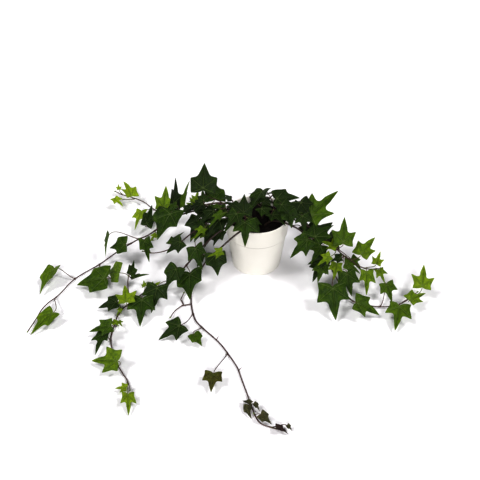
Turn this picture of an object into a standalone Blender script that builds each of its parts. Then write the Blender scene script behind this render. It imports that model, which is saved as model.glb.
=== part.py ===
"""Potted trailing ivy.

A round tapered pot with a rim band holds soil. Leafy stems stand in holes in the
soil, hang over the rim and trail along the surface that the pot stands on. Each
leafy stem, with its leaf stalks and lobed leaves, is one grown piece.

Metres, +Z up. The origin is the centre of the pot's base, on the surface, and
the front of the pot faces -Y.
"""

import itertools
import math
import random
from collections import namedtuple

import bmesh
import bpy
from mathutils import Matrix, Vector
from mathutils.bvhtree import BVHTree

MM = 0.001
GAP = 0.0003

# The pot.
RIM_RADIUS = 0.060
POT_HEIGHT = 0.113
BASE_RADIUS = 0.0475
BAND_HEIGHT = 0.036
BAND_STEP = 0.0011
BAND_TAPER = 0.0016
LIP = 0.0008
WALL = 0.0019
POT_FLOOR = 0.003
BASE_EDGE = 0.0016
POT_SIDES = 36
DRAIN_HOLES = 4
DRAIN_RADIUS = 0.004
DRAIN_RING_RADIUS = 0.028

# The soil.
SOIL_TOP = 0.099
SOIL_RINGS = 3
SOIL_LUMP = 0.0012
SOIL_EDGE = 0.003

# The stems.
STEM_FOOT_Z = 0.074
STEM_LEAVES_SOIL_Z = 0.102
STEM_ROOT_RADIUS = 0.0019
STEM_TIP_RADIUS = 0.0010
STEM_SIDES = 5
STEM_STEP = 0.019
STRAIGHT_FOOT = 0.012
CURVE_STEPS = 8
HOLE_CLEARANCE = 0.0004
HOLE_SIDES = 6
CUTTER_OVERSHOOT = 0.002

# The leaf stalks and blades.
STALK_RADIUS = 0.0008
STALK_SIDES = 3
STALK_STEPS = 3
TURNING_STALK_STEPS = 5
STALK_END_RADIUS = 0.0003
STALK_INTO_BLADE = 0.0018
# How a stalk bends: its share of the stem's direction where it leaves the stem,
# how far its two bends lie from its ends and how far it arches, over its length.
STALK_ALONG_STEM = 0.35
STALK_FIRST_BEND = 0.35
STALK_LAST_BEND = 0.30
STALK_ARCH = 0.12
BLADE_THICKNESS = 0.0008
GUARD = 0.0005
SURFACE_CLEARANCE = 0.0006

# Half of a leaf's outline, from its tip round to the notch at its stalk. Each
# point has its angle from the midrib in degrees and its distance from the stalk
# over the blade's length, once for a deeply cut leaf and once for a shallow one.
OUTLINE = (
    (0, 1.00, 1.00),
    (12, 0.60, 0.70),
    (27, 0.40, 0.58),
    (50, 0.66, 0.62),
    (82, 0.36, 0.50),
    (114, 0.42, 0.50),
    (180, 0.06, 0.08),
)
# Points on the midrib, over the blade's length, and the triangles of one half:
# numbers 0 to 6 are the outline's points, 7 and 8 the midrib's.
MIDRIB = (0.18, 0.56)
HALF_TRIANGLES = (
    (0, 1, 8),
    (1, 2, 8),
    (2, 7, 8),
    (2, 3, 7),
    (3, 4, 7),
    (4, 5, 7),
    (5, 6, 7),
)

# How a leaf of each age looks: how deeply it is cut, its width over that of a
# full leaf, how far its halves fold up, how far its lobes bend back down and how
# far its tip droops.
Look = namedtuple("Look", "cut width fold curl droop")
LOOKS = {
    "old": Look(0.60, 1.00, 0.20, 0.22, 0.12),
    "broad": Look(0.20, 1.04, 0.16, 0.20, 0.12),
    "mid": Look(0.80, 0.98, 0.22, 0.22, 0.14),
    "slim": Look(0.85, 0.76, 0.24, 0.18, 0.12),
    "oval": Look(0.15, 0.62, 0.26, 0.16, 0.12),
    "young": Look(1.00, 0.94, 0.24, 0.16, 0.10),
    "narrow": Look(0.50, 0.66, 0.40, 0.10, 0.12),
    "dried": Look(0.25, 0.85, 0.55, 0.35, 0.30),
}

# The leafy stems. A route runs from the soil outwards and a twig from its stem,
# both as points (x, y, z) in millimetres. A leaf is the base of its blade and
# its tip, in millimetres, its roll about its midrib in degrees and its look. A
# fifth item is a point on the stem where its stalk leaves, where that isn't the
# nearest one.
Vine = namedtuple("Vine", "route twigs leaves")
VINES = {
    "vine_left_long": Vine(
        route=(
            (-30, 6, 104), (-38, 6, 114), (-60, 9, 118), (-98, 11, 116), (-127, 12, 108),
            (-152, 15, 96), (-174, 15, 82), (-206, 8, 58), (-232, 8, 44), (-253, 5, 31),
            (-275, 0, 18), (-304, -19, 6), (-326, -37, 3), (-344, -56, 3), (-358, -80, 3),
            (-368, -104, 3), (-388, -133, 3), (-396, -167, 3), (-403, -197, 4),
        ),
        twigs=(),
        leaves=(
            ((-386, -56, 22), (-405, -106, 12), 20, "oval"),
            ((-366, -168, 17), (-396, -206, 8), -12, "oval", (-368, -104, 3)),
            ((-284, -86, 28), (-340, -84, 15), -10, "broad", (-304, -19, 6)),
            ((-256, -2, 40), (-290, 4, 28), -30, "broad"),
            ((-287, 12, 50), (-295, -24, 30), 75, "narrow", (-253, 5, 31)),
            ((-126, 14, 116), (-151, 6, 106), 0, "old"),
            ((-155, 32, 108), (-180, 26, 98), 0, "mid"),
            ((-164, 9, 106), (-188, -39, 86), 0, "broad"),
            ((-192, -7, 68), (-203, -20, 64), 0, "young"),
        ),
    ),
    "vine_left_upper": Vine(
        route=(
            (-27, 20, 104), (-36, 24, 114), (-55, 28, 117), (-85, 30, 110), (-112, 40, 98),
            (-135, 54, 82), (-161, 74, 62), (-188, 101, 40), (-207, 125, 28), (-221, 147, 20),
            (-241, 178, 12), (-266, 200, 7), (-292, 215, 5), (-310, 226, 6),
        ),
        twigs=(),
        leaves=(
            ((-299, 216, 20), (-302, 228, 26), 0, "young"),
            ((-302, 175, 22), (-282, 158, 16), 0, "young"),
            ((-268, 186, 25), (-288, 226, 38), 10, "slim"),
            ((-238, 116, 30), (-250, 78, 16), 10, "slim"),
            ((-223, 79, 29), (-212, 118, 50), 36, "narrow"),
            ((-176, 70, 60), (-198, 30, 36), 0, "broad"),
            ((-189, 115, 45), (-185, 152, 75), 20, "mid"),
            ((-164, 69, 84), (-156, 111, 118), 62, "narrow"),
            ((-140, 62, 92), (-136, 96, 124), -58, "narrow"),
            ((-152, 54, 72), (-170, 42, 62), 0, "young"),
            ((-120, 42, 100), (-130, 66, 110), 0, "young"),
            ((-175, 69, 76), (-155, 48, 62), 0, "old"),
        ),
    ),
    "vine_left_middle": Vine(
        route=(
            (-33, -7, 104), (-42, -8, 114), (-59, -11, 117), (-90, -18, 108), (-125, -28, 86),
            (-155, -32, 60), (-180, -28, 44), (-202, -20, 34), (-220, -8, 28),
        ),
        twigs=(),
        leaves=(
            ((-161, -24, 62), (-141, 0, 74), -10, "mid"),
            ((-216, -4, 50), (-205, -38, 28), 0, "narrow"),
            ((-204, 3, 46), (-193, 6, 47), -20, "young"),
            ((-113, -62, 76), (-103, -95, 54), 0, "mid"),
            ((-142, -48, 84), (-170, -58, 66), -20, "old"),
            ((-97, -28, 102), (-117, -58, 90), 0, "old"),
            ((-109, -1, 102), (-127, -39, 86), 0, "old"),
            ((-97, -39, 96), (-124, -47, 88), 0, "slim"),
            ((-100, -40, 104), (-116, -59, 98), 0, "young"),
        ),
    ),
    "vine_left_front": Vine(
        route=(
            (-24, -17, 104), (-32, -24, 114), (-48, -38, 117), (-75, -52, 106), (-100, -61, 84),
            (-124, -68, 56), (-146, -78, 32), (-170, -88, 16), (-192, -93, 8), (-208, -98, 5),
            (-224, -116, 4), (-245, -142, 4), (-252, -164, 4), (-254, -188, 3), (-256, -209, 3),
            (-251, -232, 3), (-240, -263, 3), (-225, -289, 3), (-214, -307, 3), (-208, -324, 4),
        ),
        twigs=(
            ((-232, -126, 5), (-238, -104, 16), (-240, -84, 26), (-234, -64, 34)),
        ),
        leaves=(
            ((-259, -72, 30), (-287, -50, 14), -45, "broad"),
            ((-236, -78, 30), (-229, -50, 40), 50, "narrow"),
            ((-230, -80, 26), (-203, -71, 32), -60, "narrow"),
            ((-150, -78, 44), (-170, -105, 22), 0, "broad"),
            ((-125, -80, 32), (-125, -132, 22), 0, "broad"),
            ((-183, -112, 28), (-192, -155, 10), 0, "old"),
            ((-208, -140, 25), (-208, -188, 10), 0, "mid"),
            ((-207, -104, 26), (-210, -92, 30), -30, "young"),
            ((-192, -108, 30), (-178, -98, 36), 0, "young"),
            ((-234, -150, 32), (-242, -111, 38), 0, "young"),
            ((-255, -140, 20), (-289, -145, 12), -10, "old"),
            ((-256, -205, 26), (-293, -210, 18), -30, "slim"),
            ((-266, -212, 14), (-276, -252, 5), 10, "slim"),
            ((-235, -280, 22), (-281, -270, 14), -25, "mid"),
            ((-214, -327, 12), (-232, -325, 10), -10, "young"),
            ((-208, -343, 14), (-203, -374, 6), -20, "slim"),
            ((-246, -180, 10), (-238, -190, 10), 0, "young"),
            ((-262, -196, 12), (-270, -186, 14), 0, "young"),
            ((-67, -43, 104), (-83, -59, 84), 0, "old"),
            ((-88, -28, 92), (-99, -48, 70), 0, "old"),
            ((-245, -154, 16), (-253, -163, 8), 0, "young"),
            ((-251, -196, 14), (-240, -204, 8), 0, "young"),
        ),
    ),
    "vine_front_long": Vine(
        route=(
            (-12, -27, 104), (-17, -36, 114), (-28, -54, 117), (-44, -67, 112), (-57, -75, 104),
            (-69, -78, 92), (-88, -70, 66), (-104, -70, 38), (-115, -78, 16), (-122, -97, 5),
            (-122, -118, 3), (-119, -141, 3), (-112, -168, 3), (-97, -189, 3), (-81, -207, 3),
            (-66, -225, 3), (-54, -245, 3), (-45, -261, 3), (-35, -282, 3), (-29, -304, 3),
            (-21, -331, 3), (-12, -362, 3), (-6, -382, 3), (5, -390, 3), (20, -396, 3),
            (34, -401, 3),
        ),
        twigs=(
            ((-121, -128, 3), (-134, -130, 3), (-145, -139, 3), (-153, -152, 3), (-156, -162, 4)),
            ((-135, -130, 3), (-141, -117, 3), (-137, -101, 4)),
        ),
        leaves=(
            ((-77, -80, 82), (-71, -109, 60), 0, "broad"),
            ((-66, -88, 94), (-92, -92, 86), -10, "young"),
            ((-137, -197, 18), (-173, -218, 8), -10, "old"),
            ((-110, -217, 16), (-96, -235, 10), 0, "broad"),
            ((-75, -303, 16), (-78, -334, 13), 0, "old", (-55, -243, 3)),
            ((-18, -356, 11), (-30, -345, 9), 20, "dried"),
            ((-10, -358, 11), (0, -366, 8), -20, "dried"),
            ((-18, -361, 11), (-18, -380, 6), 20, "dried"),
            ((1, -379, 12), (16, -391, 8), 20, "dried"),
            ((40, -396, 9), (47, -402, 7), 0, "dried"),
            ((24, -402, 11), (42, -405, 8), -20, "dried"),
            ((-101, -59, 60), (-114, -70, 40), 0, "slim"),
        ),
    ),
    "vine_right_back": Vine(
        route=(
            (27, 7, 104), (36, 7, 114), (58, 4, 117), (85, -2, 112), (104, -14, 100),
            (118, -28, 86),
        ),
        twigs=(),
        leaves=(
            ((37, 16, 136), (79, 16, 142), 15, "broad"),
            ((101, -13, 119), (155, 38, 144), 20, "slim"),
            ((104, -36, 88), (144, -6, 100), 20, "old"),
            ((72, 12, 118), (98, 2, 104), 10, "old"),
            ((81, 5, 116), (99, -29, 100), 0, "old"),
        ),
    ),
    "vine_right_upper": Vine(
        route=(
            (22, -8, 104), (32, -11, 114), (56, -18, 117), (84, -26, 111), (113, -43, 99),
            (137, -61, 87), (154, -74, 76), (174, -75, 61), (190, -74, 46), (206, -69, 37),
            (221, -64, 31), (232, -58, 28),
        ),
        twigs=(),
        leaves=(
            ((140, -72, 92), (114, -57, 96), -10, "young"),
            ((155, -66, 86), (159, -30, 117), 0, "mid"),
            ((190, -75, 79), (214, -50, 100), 0, "mid"),
            ((219, -76, 57), (226, -62, 74), 0, "young"),
            ((150, -84, 76), (130, -84, 68), -10, "old"),
            ((128, -93, 86), (106, -99, 72), -10, "young"),
            ((144, -86, 66), (138, -106, 46), 0, "young"),
            ((162, -82, 64), (196, -84, 48), 30, "mid"),
            ((200, -89, 44), (198, -124, 22), 0, "slim"),
            ((226, -78, 40), (236, -98, 26), 0, "young"),
            ((116, -62, 84), (96, -88, 66), 0, "mid"),
            ((135, -35, 88), (155, -54, 70), 0, "old"),
            ((175, -65, 60), (196, -79, 48), 0, "mid"),
            ((82, -24, 126), (86, -54, 110), 0, "mid"),
            ((103, -68, 112), (139, -37, 120), 0, "old"),
            ((56, -24, 127), (62, -49, 110), 0, "broad"),
        ),
    ),
    "vine_right_lower": Vine(
        route=(
            (14, -20, 104), (24, -24, 114), (50, -33, 117), (80, -43, 106), (106, -55, 84),
            (127, -70, 58), (145, -87, 33), (158, -102, 14), (168, -115, 6), (182, -126, 4),
            (211, -135, 4), (240, -136, 5), (262, -132, 9), (280, -122, 14), (292, -113, 18),
        ),
        twigs=(),
        leaves=(
            ((135, -124, 38), (138, -176, 12), 0, "old"),
            ((162, -100, 52), (169, -127, 20), 0, "old"),
            ((177, -152, 28), (219, -162, 12), 15, "mid"),
            ((252, -153, 20), (238, -198, 6), 0, "mid"),
            ((302, -105, 27), (311, -65, 46), 0, "young"),
            ((275, -139, 24), (309, -115, 22), 10, "slim"),
            ((236, -106, 30), (243, -134, 14), 25, "mid"),
            ((118, -86, 58), (108, -112, 42), 0, "mid"),
            ((122, -76, 66), (92, -84, 54), 0, "old"),
            ((90, -64, 102), (53, -78, 76), -15, "mid", (90, -48, 98)),
            ((85, -20, 100), (113, -36, 84), 0, "old"),
            ((120, -65, 50), (101, -92, 30), 0, "old"),
        ),
    ),
    "crown_left": Vine(
        route=(
            (-16, 8, 104), (-22, 12, 115), (-40, 18, 122), (-64, 20, 123), (-86, 22, 120),
            (-102, 24, 113),
        ),
        twigs=(),
        leaves=(
            ((-101, 28, 152), (-99, 60, 188), 0, "broad"),
            ((-80, 34, 125), (-86, 66, 146), 10, "broad"),
            ((-117, 50, 108), (-113, 66, 122), 0, "young"),
            ((-62, -4, 126), (-92, -10, 118), 0, "old"),
            ((-80, -12, 120), (-108, -32, 108), 0, "old"),
            ((-102, 8, 116), (-136, 6, 104), 0, "old"),
            ((-70, -28, 120), (-92, -58, 106), 0, "old"),
            ((-112, 28, 108), (-130, 44, 114), 40, "old"),
            ((-50, 26, 128), (-70, 34, 126), 70, "old"),
            ((-98, -2, 106), (-120, -18, 94), 0, "old"),
            ((-99, -2, 126), (-101, 16, 140), 0, "old"),
            ((-71, -9, 126), (-93, -2, 130), 0, "mid"),
        ),
    ),
    "crown_front": Vine(
        route=(
            (-8, -12, 104), (-10, -18, 118), (-18, -30, 127), (-32, -44, 126),
        ),
        twigs=(),
        leaves=(
            ((-26, -24, 134), (-24, 2, 158), 0, "broad"),
            ((-23, -46, 128), (-23, -82, 100), 0, "mid"),
            ((-38, -36, 132), (-62, -64, 114), 0, "mid"),
            ((-8, -30, 126), (6, -56, 116), -30, "mid"),
            ((-46, -12, 130), (-74, -22, 122), 0, "old"),
            ((-65, -29, 116), (-90, -52, 104), 0, "slim"),
            ((-39, -2, 130), (-62, 17, 128), 0, "old"),
        ),
    ),
    "crown_right": Vine(
        route=(
            (10, 3, 104), (14, 6, 116), (26, 2, 121), (44, -10, 121),
        ),
        twigs=(),
        leaves=(
            ((8, -2, 126), (32, -24, 118), 0, "mid"),
            ((28, -18, 124), (50, -44, 114), 0, "mid"),
            ((12, 14, 131), (40, 18, 130), 0, "old"),
            ((0, 10, 130), (-14, 36, 126), -20, "old"),
            ((8, 28, 122), (22, 36, 124), 0, "young"),
            ((9, 24, 128), (-14, -12, 124), 0, "old"),
            ((44, -12, 124), (63, -42, 112), 0, "old"),
        ),
    ),
    "crown_back": Vine(
        route=(
            (6, 20, 104), (14, 30, 114), (30, 53, 117), (36, 68, 108), (38, 78, 90), (38, 84, 66),
        ),
        twigs=(),
        leaves=(
            ((28, 70, 102), (2, 90, 82), 0, "old"),
            ((50, 72, 96), (76, 88, 76), 0, "old"),
            ((30, 90, 78), (10, 108, 52), 0, "mid"),
            ((48, 88, 68), (70, 104, 44), 0, "mid"),
            ((38, 94, 56), (38, 108, 22), 0, "mid"),
            ((10, 51, 118), (-16, 60, 116), 0, "old"),
        ),
    ),
}

# Tries that bring a leaf clear of its neighbours, the smallest change first:
# turns in degrees about the blade's side and its midrib, a lift in millimetres
# and a stalk that leaves the stem some steps nearer to the stem's root.
PITCH_TRIES = (0, 8, -8, 16, -16, 24, -24, 34, -34)
ROLL_TRIES = (0, 12, -12, 24, -24, 38, -38)
LIFT_TRIES = (0, 4, -4, 8, 13, 19)
ROOT_TRIES = (0, 1, -1, 2)
# What each change costs in the order of the tries.
PITCH_COST = 1.0
ROLL_COST = 0.7
LIFT_COST = 2.5
ROOT_COST = 5.0
# How far from its base a leaf's blade and its stalk can reach: the blade's over
# its length, and the stalk's longest run.
BLADE_REACH = 1.3
STALK_REACH = 0.09
# How far back along the stem a stalk leaves it, over its own length.
STALK_LEAN = 0.35

POT_COLOUR = (0.83, 0.81, 0.76)
SOIL_COLOUR = (0.02, 0.014, 0.01)
LEAF_COLOUR = (0.055, 0.16, 0.02)


def clear_scene():
    for obj in list(bpy.data.objects):
        bpy.data.objects.remove(obj)


def make_material(name, colour, roughness):
    material = bpy.data.materials.new(name)
    material.use_nodes = True
    shader = material.node_tree.nodes["Principled BSDF"]
    shader.inputs["Base Color"].default_value = (*colour, 1.0)
    shader.inputs["Roughness"].default_value = roughness
    shader.inputs["Metallic"].default_value = 0.0
    return material


def add_object(name, vertices, faces, material=None, collection=None):
    """A mesh object from plain lists, with its faces pointing out."""
    mesh = bpy.data.meshes.new(name)
    mesh.from_pydata([tuple(v) for v in vertices], [], faces)
    bm = bmesh.new()
    bm.from_mesh(mesh)
    bmesh.ops.recalc_face_normals(bm, faces=bm.faces)
    bm.to_mesh(mesh)
    bm.free()
    obj = bpy.data.objects.new(name, mesh)
    if material:
        mesh.materials.append(material)
    (collection or bpy.context.scene.collection).objects.link(obj)
    return obj


def ring_solid(profile, sides, height_at=None):
    """Vertices and faces turned from (radius, z) points that start and end on the axis."""
    vertices = [(0.0, 0.0, profile[0][1])]
    for radius, z in profile[1:-1]:
        for k in range(sides):
            angle = 2 * math.pi * k / sides
            x, y = radius * math.cos(angle), radius * math.sin(angle)
            vertices.append((x, y, height_at(x, y, z) if height_at else z))
    last_z = profile[-1][1]
    vertices.append((0.0, 0.0, height_at(0.0, 0.0, last_z) if height_at else last_z))
    faces = []
    rings = len(profile) - 2
    for k in range(sides):
        faces.append((0, 1 + (k + 1) % sides, 1 + k))
    for ring in range(rings - 1):
        for k in range(sides):
            a = 1 + ring * sides + k
            b = 1 + ring * sides + (k + 1) % sides
            faces.append((a, b, b + sides, a + sides))
    top = 1 + (rings - 1) * sides
    for k in range(sides):
        faces.append((top + k, top + (k + 1) % sides, len(vertices) - 1))
    return vertices, faces


def body_radius(z):
    """The outer radius of the pot's body below its rim band."""
    top = POT_HEIGHT - BAND_HEIGHT
    under_band = RIM_RADIUS - BAND_TAPER - BAND_STEP
    return BASE_RADIUS + (under_band - BASE_RADIUS) * z / top


def inner_radius(z):
    """The radius inside the pot, one straight taper from its floor to its lip."""
    low = body_radius(POT_FLOOR) - WALL
    high = RIM_RADIUS - LIP - WALL
    return low + (high - low) * (z - POT_FLOOR) / (POT_HEIGHT - POT_FLOOR)


def cylinder(x, y, radius, low, high, sides):
    """Vertices and faces of an upright prism with corners at the radius."""
    vertices = []
    for z in (low, high):
        for k in range(sides):
            angle = 2 * math.pi * k / sides
            vertices.append((x + radius * math.cos(angle), y + radius * math.sin(angle), z))
    faces = [tuple(range(sides - 1, -1, -1)), tuple(range(sides, 2 * sides))]
    for k in range(sides):
        nxt = (k + 1) % sides
        faces.append((k, nxt, nxt + sides, k + sides))
    return vertices, faces


def cut_holes(obj, name, prisms):
    """Cuts a list of upright prisms out of an object with one Boolean."""
    vertices, faces = [], []
    for prism_vertices, prism_faces in prisms:
        start = len(vertices)
        vertices += prism_vertices
        faces += [tuple(i + start for i in face) for face in prism_faces]
    cutter = add_object(name, vertices, faces)
    cutter.hide_render = True
    cutter.display_type = "WIRE"
    modifier = obj.modifiers.new("holes", "BOOLEAN")
    modifier.operation = "DIFFERENCE"
    modifier.solver = "EXACT"
    modifier.object = cutter


def make_pot(material):
    band_low = POT_HEIGHT - BAND_HEIGHT
    profile = (
        (0.0, 0.0),
        (BASE_RADIUS - BASE_EDGE, 0.0),
        (body_radius(BASE_EDGE), BASE_EDGE),
        (body_radius(band_low), band_low),
        (RIM_RADIUS - BAND_TAPER, band_low + BAND_STEP),
        (RIM_RADIUS, POT_HEIGHT - LIP),
        (RIM_RADIUS - LIP, POT_HEIGHT),
        (inner_radius(POT_HEIGHT), POT_HEIGHT),
        (inner_radius(POT_FLOOR), POT_FLOOR),
        (0.0, POT_FLOOR),
    )
    vertices, faces = ring_solid(profile, POT_SIDES)
    pot = add_object("pot", vertices, faces, material)
    prisms = []
    for k in range(DRAIN_HOLES):
        angle = 2 * math.pi * (k + 0.5) / DRAIN_HOLES
        x = DRAIN_RING_RADIUS * math.cos(angle)
        y = DRAIN_RING_RADIUS * math.sin(angle)
        top = POT_FLOOR + CUTTER_OVERSHOOT
        prisms.append(cylinder(x, y, DRAIN_RADIUS, -CUTTER_OVERSHOOT, top, HOLE_SIDES))
    cut_holes(pot, "drain_hole_cutter", prisms)
    return pot


def soil_height(x, y, z):
    """Lumps on the soil's top. Lower points stay where they are."""
    if z < SOIL_TOP - SOIL_LUMP:
        return z
    waves = math.sin(x * 210 + 1.3) * math.cos(y * 170) + 0.6 * math.sin(x * 90 - y * 260)
    return z + SOIL_LUMP * 0.6 * waves


def make_soil(material, stem_places):
    bottom = POT_FLOOR + GAP
    edge = SOIL_TOP - SOIL_EDGE
    wall_gap = GAP / math.cos(math.pi / POT_SIDES)
    top_radius = inner_radius(SOIL_TOP) - wall_gap - SOIL_EDGE
    profile = [(0.0, bottom), (inner_radius(bottom) - wall_gap, bottom)]
    profile.append((inner_radius(edge) - wall_gap, edge))
    for ring in range(SOIL_RINGS, 0, -1):
        profile.append((top_radius * ring / SOIL_RINGS, SOIL_TOP))
    profile.append((0.0, SOIL_TOP))
    vertices, faces = ring_solid(profile, POT_SIDES, soil_height)
    soil = add_object("soil", vertices, faces, material)
    corner = 1 / math.cos(math.pi / HOLE_SIDES)
    hole_radius = (STEM_ROOT_RADIUS + HOLE_CLEARANCE) * corner
    prisms = [
        cylinder(x, y, hole_radius, STEM_FOOT_Z - GAP, SOIL_TOP + 5 * CUTTER_OVERSHOOT, HOLE_SIDES)
        for x, y in stem_places
    ]
    cut_holes(soil, "stem_hole_cutter", prisms)
    return soil


def catmull_rom(points, steps):
    """A smooth polyline through the points, with steps to each span."""
    ends = [points[0] * 2 - points[1], *points, points[-1] * 2 - points[-2]]
    path = []
    for i in range(1, len(ends) - 2):
        a, b, c, d = ends[i - 1 : i + 3]
        for k in range(steps):
            t = k / steps
            bend = (2 * a - 5 * b + 4 * c - d) * t**2 + (3 * b - a - 3 * c + d) * t**3
            path.append((2 * b + (c - a) * t + bend) * 0.5)
    path.append(points[-1].copy())
    return path


def resample(path, step):
    """The same line with its points about one step apart."""
    lengths = [0.0]
    for a, b in zip(path, path[1:]):
        lengths.append(lengths[-1] + (b - a).length)
    count = max(2, round(lengths[-1] / step))
    result, i = [], 0
    for k in range(count + 1):
        goal = lengths[-1] * k / count
        while i < len(path) - 2 and lengths[i + 1] < goal:
            i += 1
        span = lengths[i + 1] - lengths[i]
        t = (goal - lengths[i]) / span if span else 0.0
        result.append(path[i].lerp(path[i + 1], min(1.0, t)))
    return result


def tube(path, radii, sides):
    """Vertices and triangles of a closed tube along a path, with no twist along it."""
    tangent = (path[1] - path[0]).normalized()
    across = tangent.orthogonal().normalized()
    vertices = []
    for i, point in enumerate(path):
        ahead = path[min(i + 1, len(path) - 1)] - path[max(i - 1, 0)]
        new_tangent = ahead.normalized()
        across = (tangent.rotation_difference(new_tangent) @ across).normalized()
        tangent = new_tangent
        other = tangent.cross(across)
        for k in range(sides):
            angle = 2 * math.pi * k / sides
            vertices.append(point + (across * math.cos(angle) + other * math.sin(angle)) * radii[i])
    faces = []
    for i in range(len(path) - 1):
        for k in range(sides):
            a, b = i * sides + k, i * sides + (k + 1) % sides
            faces.append((a, b, b + sides))
            faces.append((a, b + sides, a + sides))
    last = (len(path) - 1) * sides
    for k in range(1, sides - 1):
        faces.append((0, k + 1, k))
        faces.append((last, last + k, last + k + 1))
    return vertices, faces


def stem_path(route):
    """A stem's line: straight down into its hole, then smooth along its route."""
    points = [Vector(p) * MM for p in route]
    x, y = points[0].x, points[0].y
    start = Vector((x, y, STEM_LEAVES_SOIL_Z))
    below = Vector((x, y, STEM_LEAVES_SOIL_Z - STRAIGHT_FOOT))
    free = catmull_rom([below, start, *points[1:]], CURVE_STEPS)[CURVE_STEPS:]
    return [Vector((x, y, STEM_FOOT_Z)), *resample(free, STEM_STEP)]


def nearest_on(path, goal):
    """The point of a polyline that is nearest to a goal."""
    best = None
    for a, b in zip(path, path[1:]):
        along = (goal - a).dot(b - a) / (b - a).length_squared
        point = a.lerp(b, min(1.0, max(0.0, along)))
        if best is None or (point - goal).length < (best - goal).length:
            best = point
    return best


def stem_paths(vine):
    """The main stem's line and then its twigs', each starting on a line before it."""
    paths = [stem_path(vine.route)]
    for route in vine.twigs:
        points = [Vector(p) * MM for p in route]
        starts = [nearest_on(path, points[0]) for path in paths]
        points[0] = min(starts, key=lambda start: (start - points[0]).length)
        paths.append(resample(catmull_rom(points, CURVE_STEPS), STEM_STEP))
    return paths


def taper(path, start, end):
    last = len(path) - 1
    return [start + (end - start) * i / last for i in range(last + 1)]


class Leaf:
    """One leaf: where its blade sits, how it is shaped and how its stalk runs."""

    def __init__(self, vine, number, base, tip, roll, look, root=None):
        self.vine = vine
        self.root = Vector(root) * MM if root else None
        self.base = Vector(base) * MM
        self.reach = Vector(tip) * MM - self.base
        self.length = self.reach.length
        self.roll = math.radians(roll)
        self.look = LOOKS[look]
        draw = random.Random(f"{vine} {number}")
        self.cut = self.look.cut + draw.uniform(-0.15, 0.10)
        self.width = self.look.width * draw.uniform(0.94, 1.05)
        self.uneven = draw.uniform(-0.07, 0.07)
        self.bent = (0, 0, 0, 0)
        self.stem = None
        self.stem_point = None

    def axes(self):
        """The blade's base and its directions to the side, to the tip and up."""
        pitch, roll, lift, _ = self.bent
        base = self.base + Vector((0, 0, lift * MM))
        along = self.reach.normalized()
        flat = Vector((-along.y, along.x, 0))
        side = flat.normalized() if flat.length > 1e-6 else Vector((1, 0, 0))
        along = Matrix.Rotation(-math.radians(pitch), 3, side) @ along
        turn = Matrix.Rotation(self.roll + math.radians(roll), 3, along)
        side = turn @ side
        return base, side, along, along.cross(side)

    def surface(self, a, b):
        """The height of the blade's middle over its length, at side a and forward b."""
        fold = self.look.fold * abs(a)
        curl = self.look.curl * a * a
        droop = self.look.droop * b * abs(b)
        return fold - curl - droop

    def place(self, a, b, offset=0.0):
        base, side, along, up = self.axes()
        height = self.surface(a, b) * self.length + offset
        return base + side * (a * self.length) + along * (b * self.length) + up * height

    def blade(self, thickness):
        """Vertices and triangles of the closed blade, alike on both faces."""
        tip, notch = 0, len(OUTLINE) - 1
        flat = []
        for hand in (1, -1):
            for k, (angle, deep, shallow) in enumerate(OUTLINE):
                if hand < 0 and k in (tip, notch):
                    continue
                radius = shallow + (deep - shallow) * self.cut
                if k not in (tip, notch):
                    radius *= 1 + hand * self.uneven
                a = hand * radius * math.sin(math.radians(angle)) * self.width
                flat.append((a, radius * math.cos(math.radians(angle))))
        flat += [(0.0, forward) for forward in MIDRIB]
        low, high = len(flat) - 2, len(flat) - 1
        left = [*range(notch + 1), low, high]
        right = [tip, *range(notch + 1, low), notch, low, high]
        top = [tuple(left[i] for i in triangle) for triangle in HALF_TRIANGLES]
        top += [tuple(right[i] for i in reversed(triangle)) for triangle in HALF_TRIANGLES]
        rim = [*range(notch + 1), *reversed(range(notch + 1, low))]
        vertices = []
        for offset in (thickness / 2, -thickness / 2):
            vertices += [self.place(a, b, offset) for a, b in flat]
        count = len(flat)
        faces = top + [tuple(i + count for i in reversed(triangle)) for triangle in top]
        for i, j in zip(rim, rim[1:] + rim[:1]):
            faces.append((i, i + count, j + count))
            faces.append((i, j + count, j))
        return vertices, faces

    def stalk_line(self):
        """The stalk's line from inside the stem to the blade's notch, and into it.

        Where the blade points back at the stem, the stalk passes under the blade.
        """
        _, _, along, up = self.axes()
        notch = OUTLINE[-1][2]
        base = self.place(0.0, -notch)
        point = min(max(2, self.stem_point - self.bent[3]), len(self.stem) - 2)
        root = self.stem[point]
        stem_direction = (self.stem[point + 1] - self.stem[point - 1]).normalized()
        reach = (base - root).length
        leave = stem_direction.lerp((base - root).normalized(), 1 - STALK_ALONG_STEM).normalized()
        arch = reach * STALK_ARCH
        if (base - root).dot(along) > 0:
            steps = STALK_STEPS
            rise = Vector((0, 0, arch))
        else:
            steps = TURNING_STALK_STEPS
            rise = -up * (arch * 2)
        first = root + leave * reach * STALK_FIRST_BEND + rise
        second = base - along * reach * STALK_LAST_BEND - up * arch
        line = []
        for k in range(steps + 1):
            t = k / steps
            line.append(
                root * (1 - t) ** 3
                + first * 3 * t * (1 - t) ** 2
                + second * 3 * t**2 * (1 - t)
                + base * t**3
            )
        line.append(self.place(0.0, STALK_INTO_BLADE / self.length - notch))
        return line

    def stalk(self, extra, whole=True):
        """Vertices and triangles of the stalk, thin where it enters the blade.

        Not whole, it lacks the part that meets the blade.
        """
        line = self.stalk_line()
        radii = [STALK_RADIUS] * (len(line) - 2) + [STALK_END_RADIUS] * 2
        if not whole:
            line, radii = line[:-2], radii[:-2]
        return tube(line, [radius + extra for radius in radii], STALK_SIDES)


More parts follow.
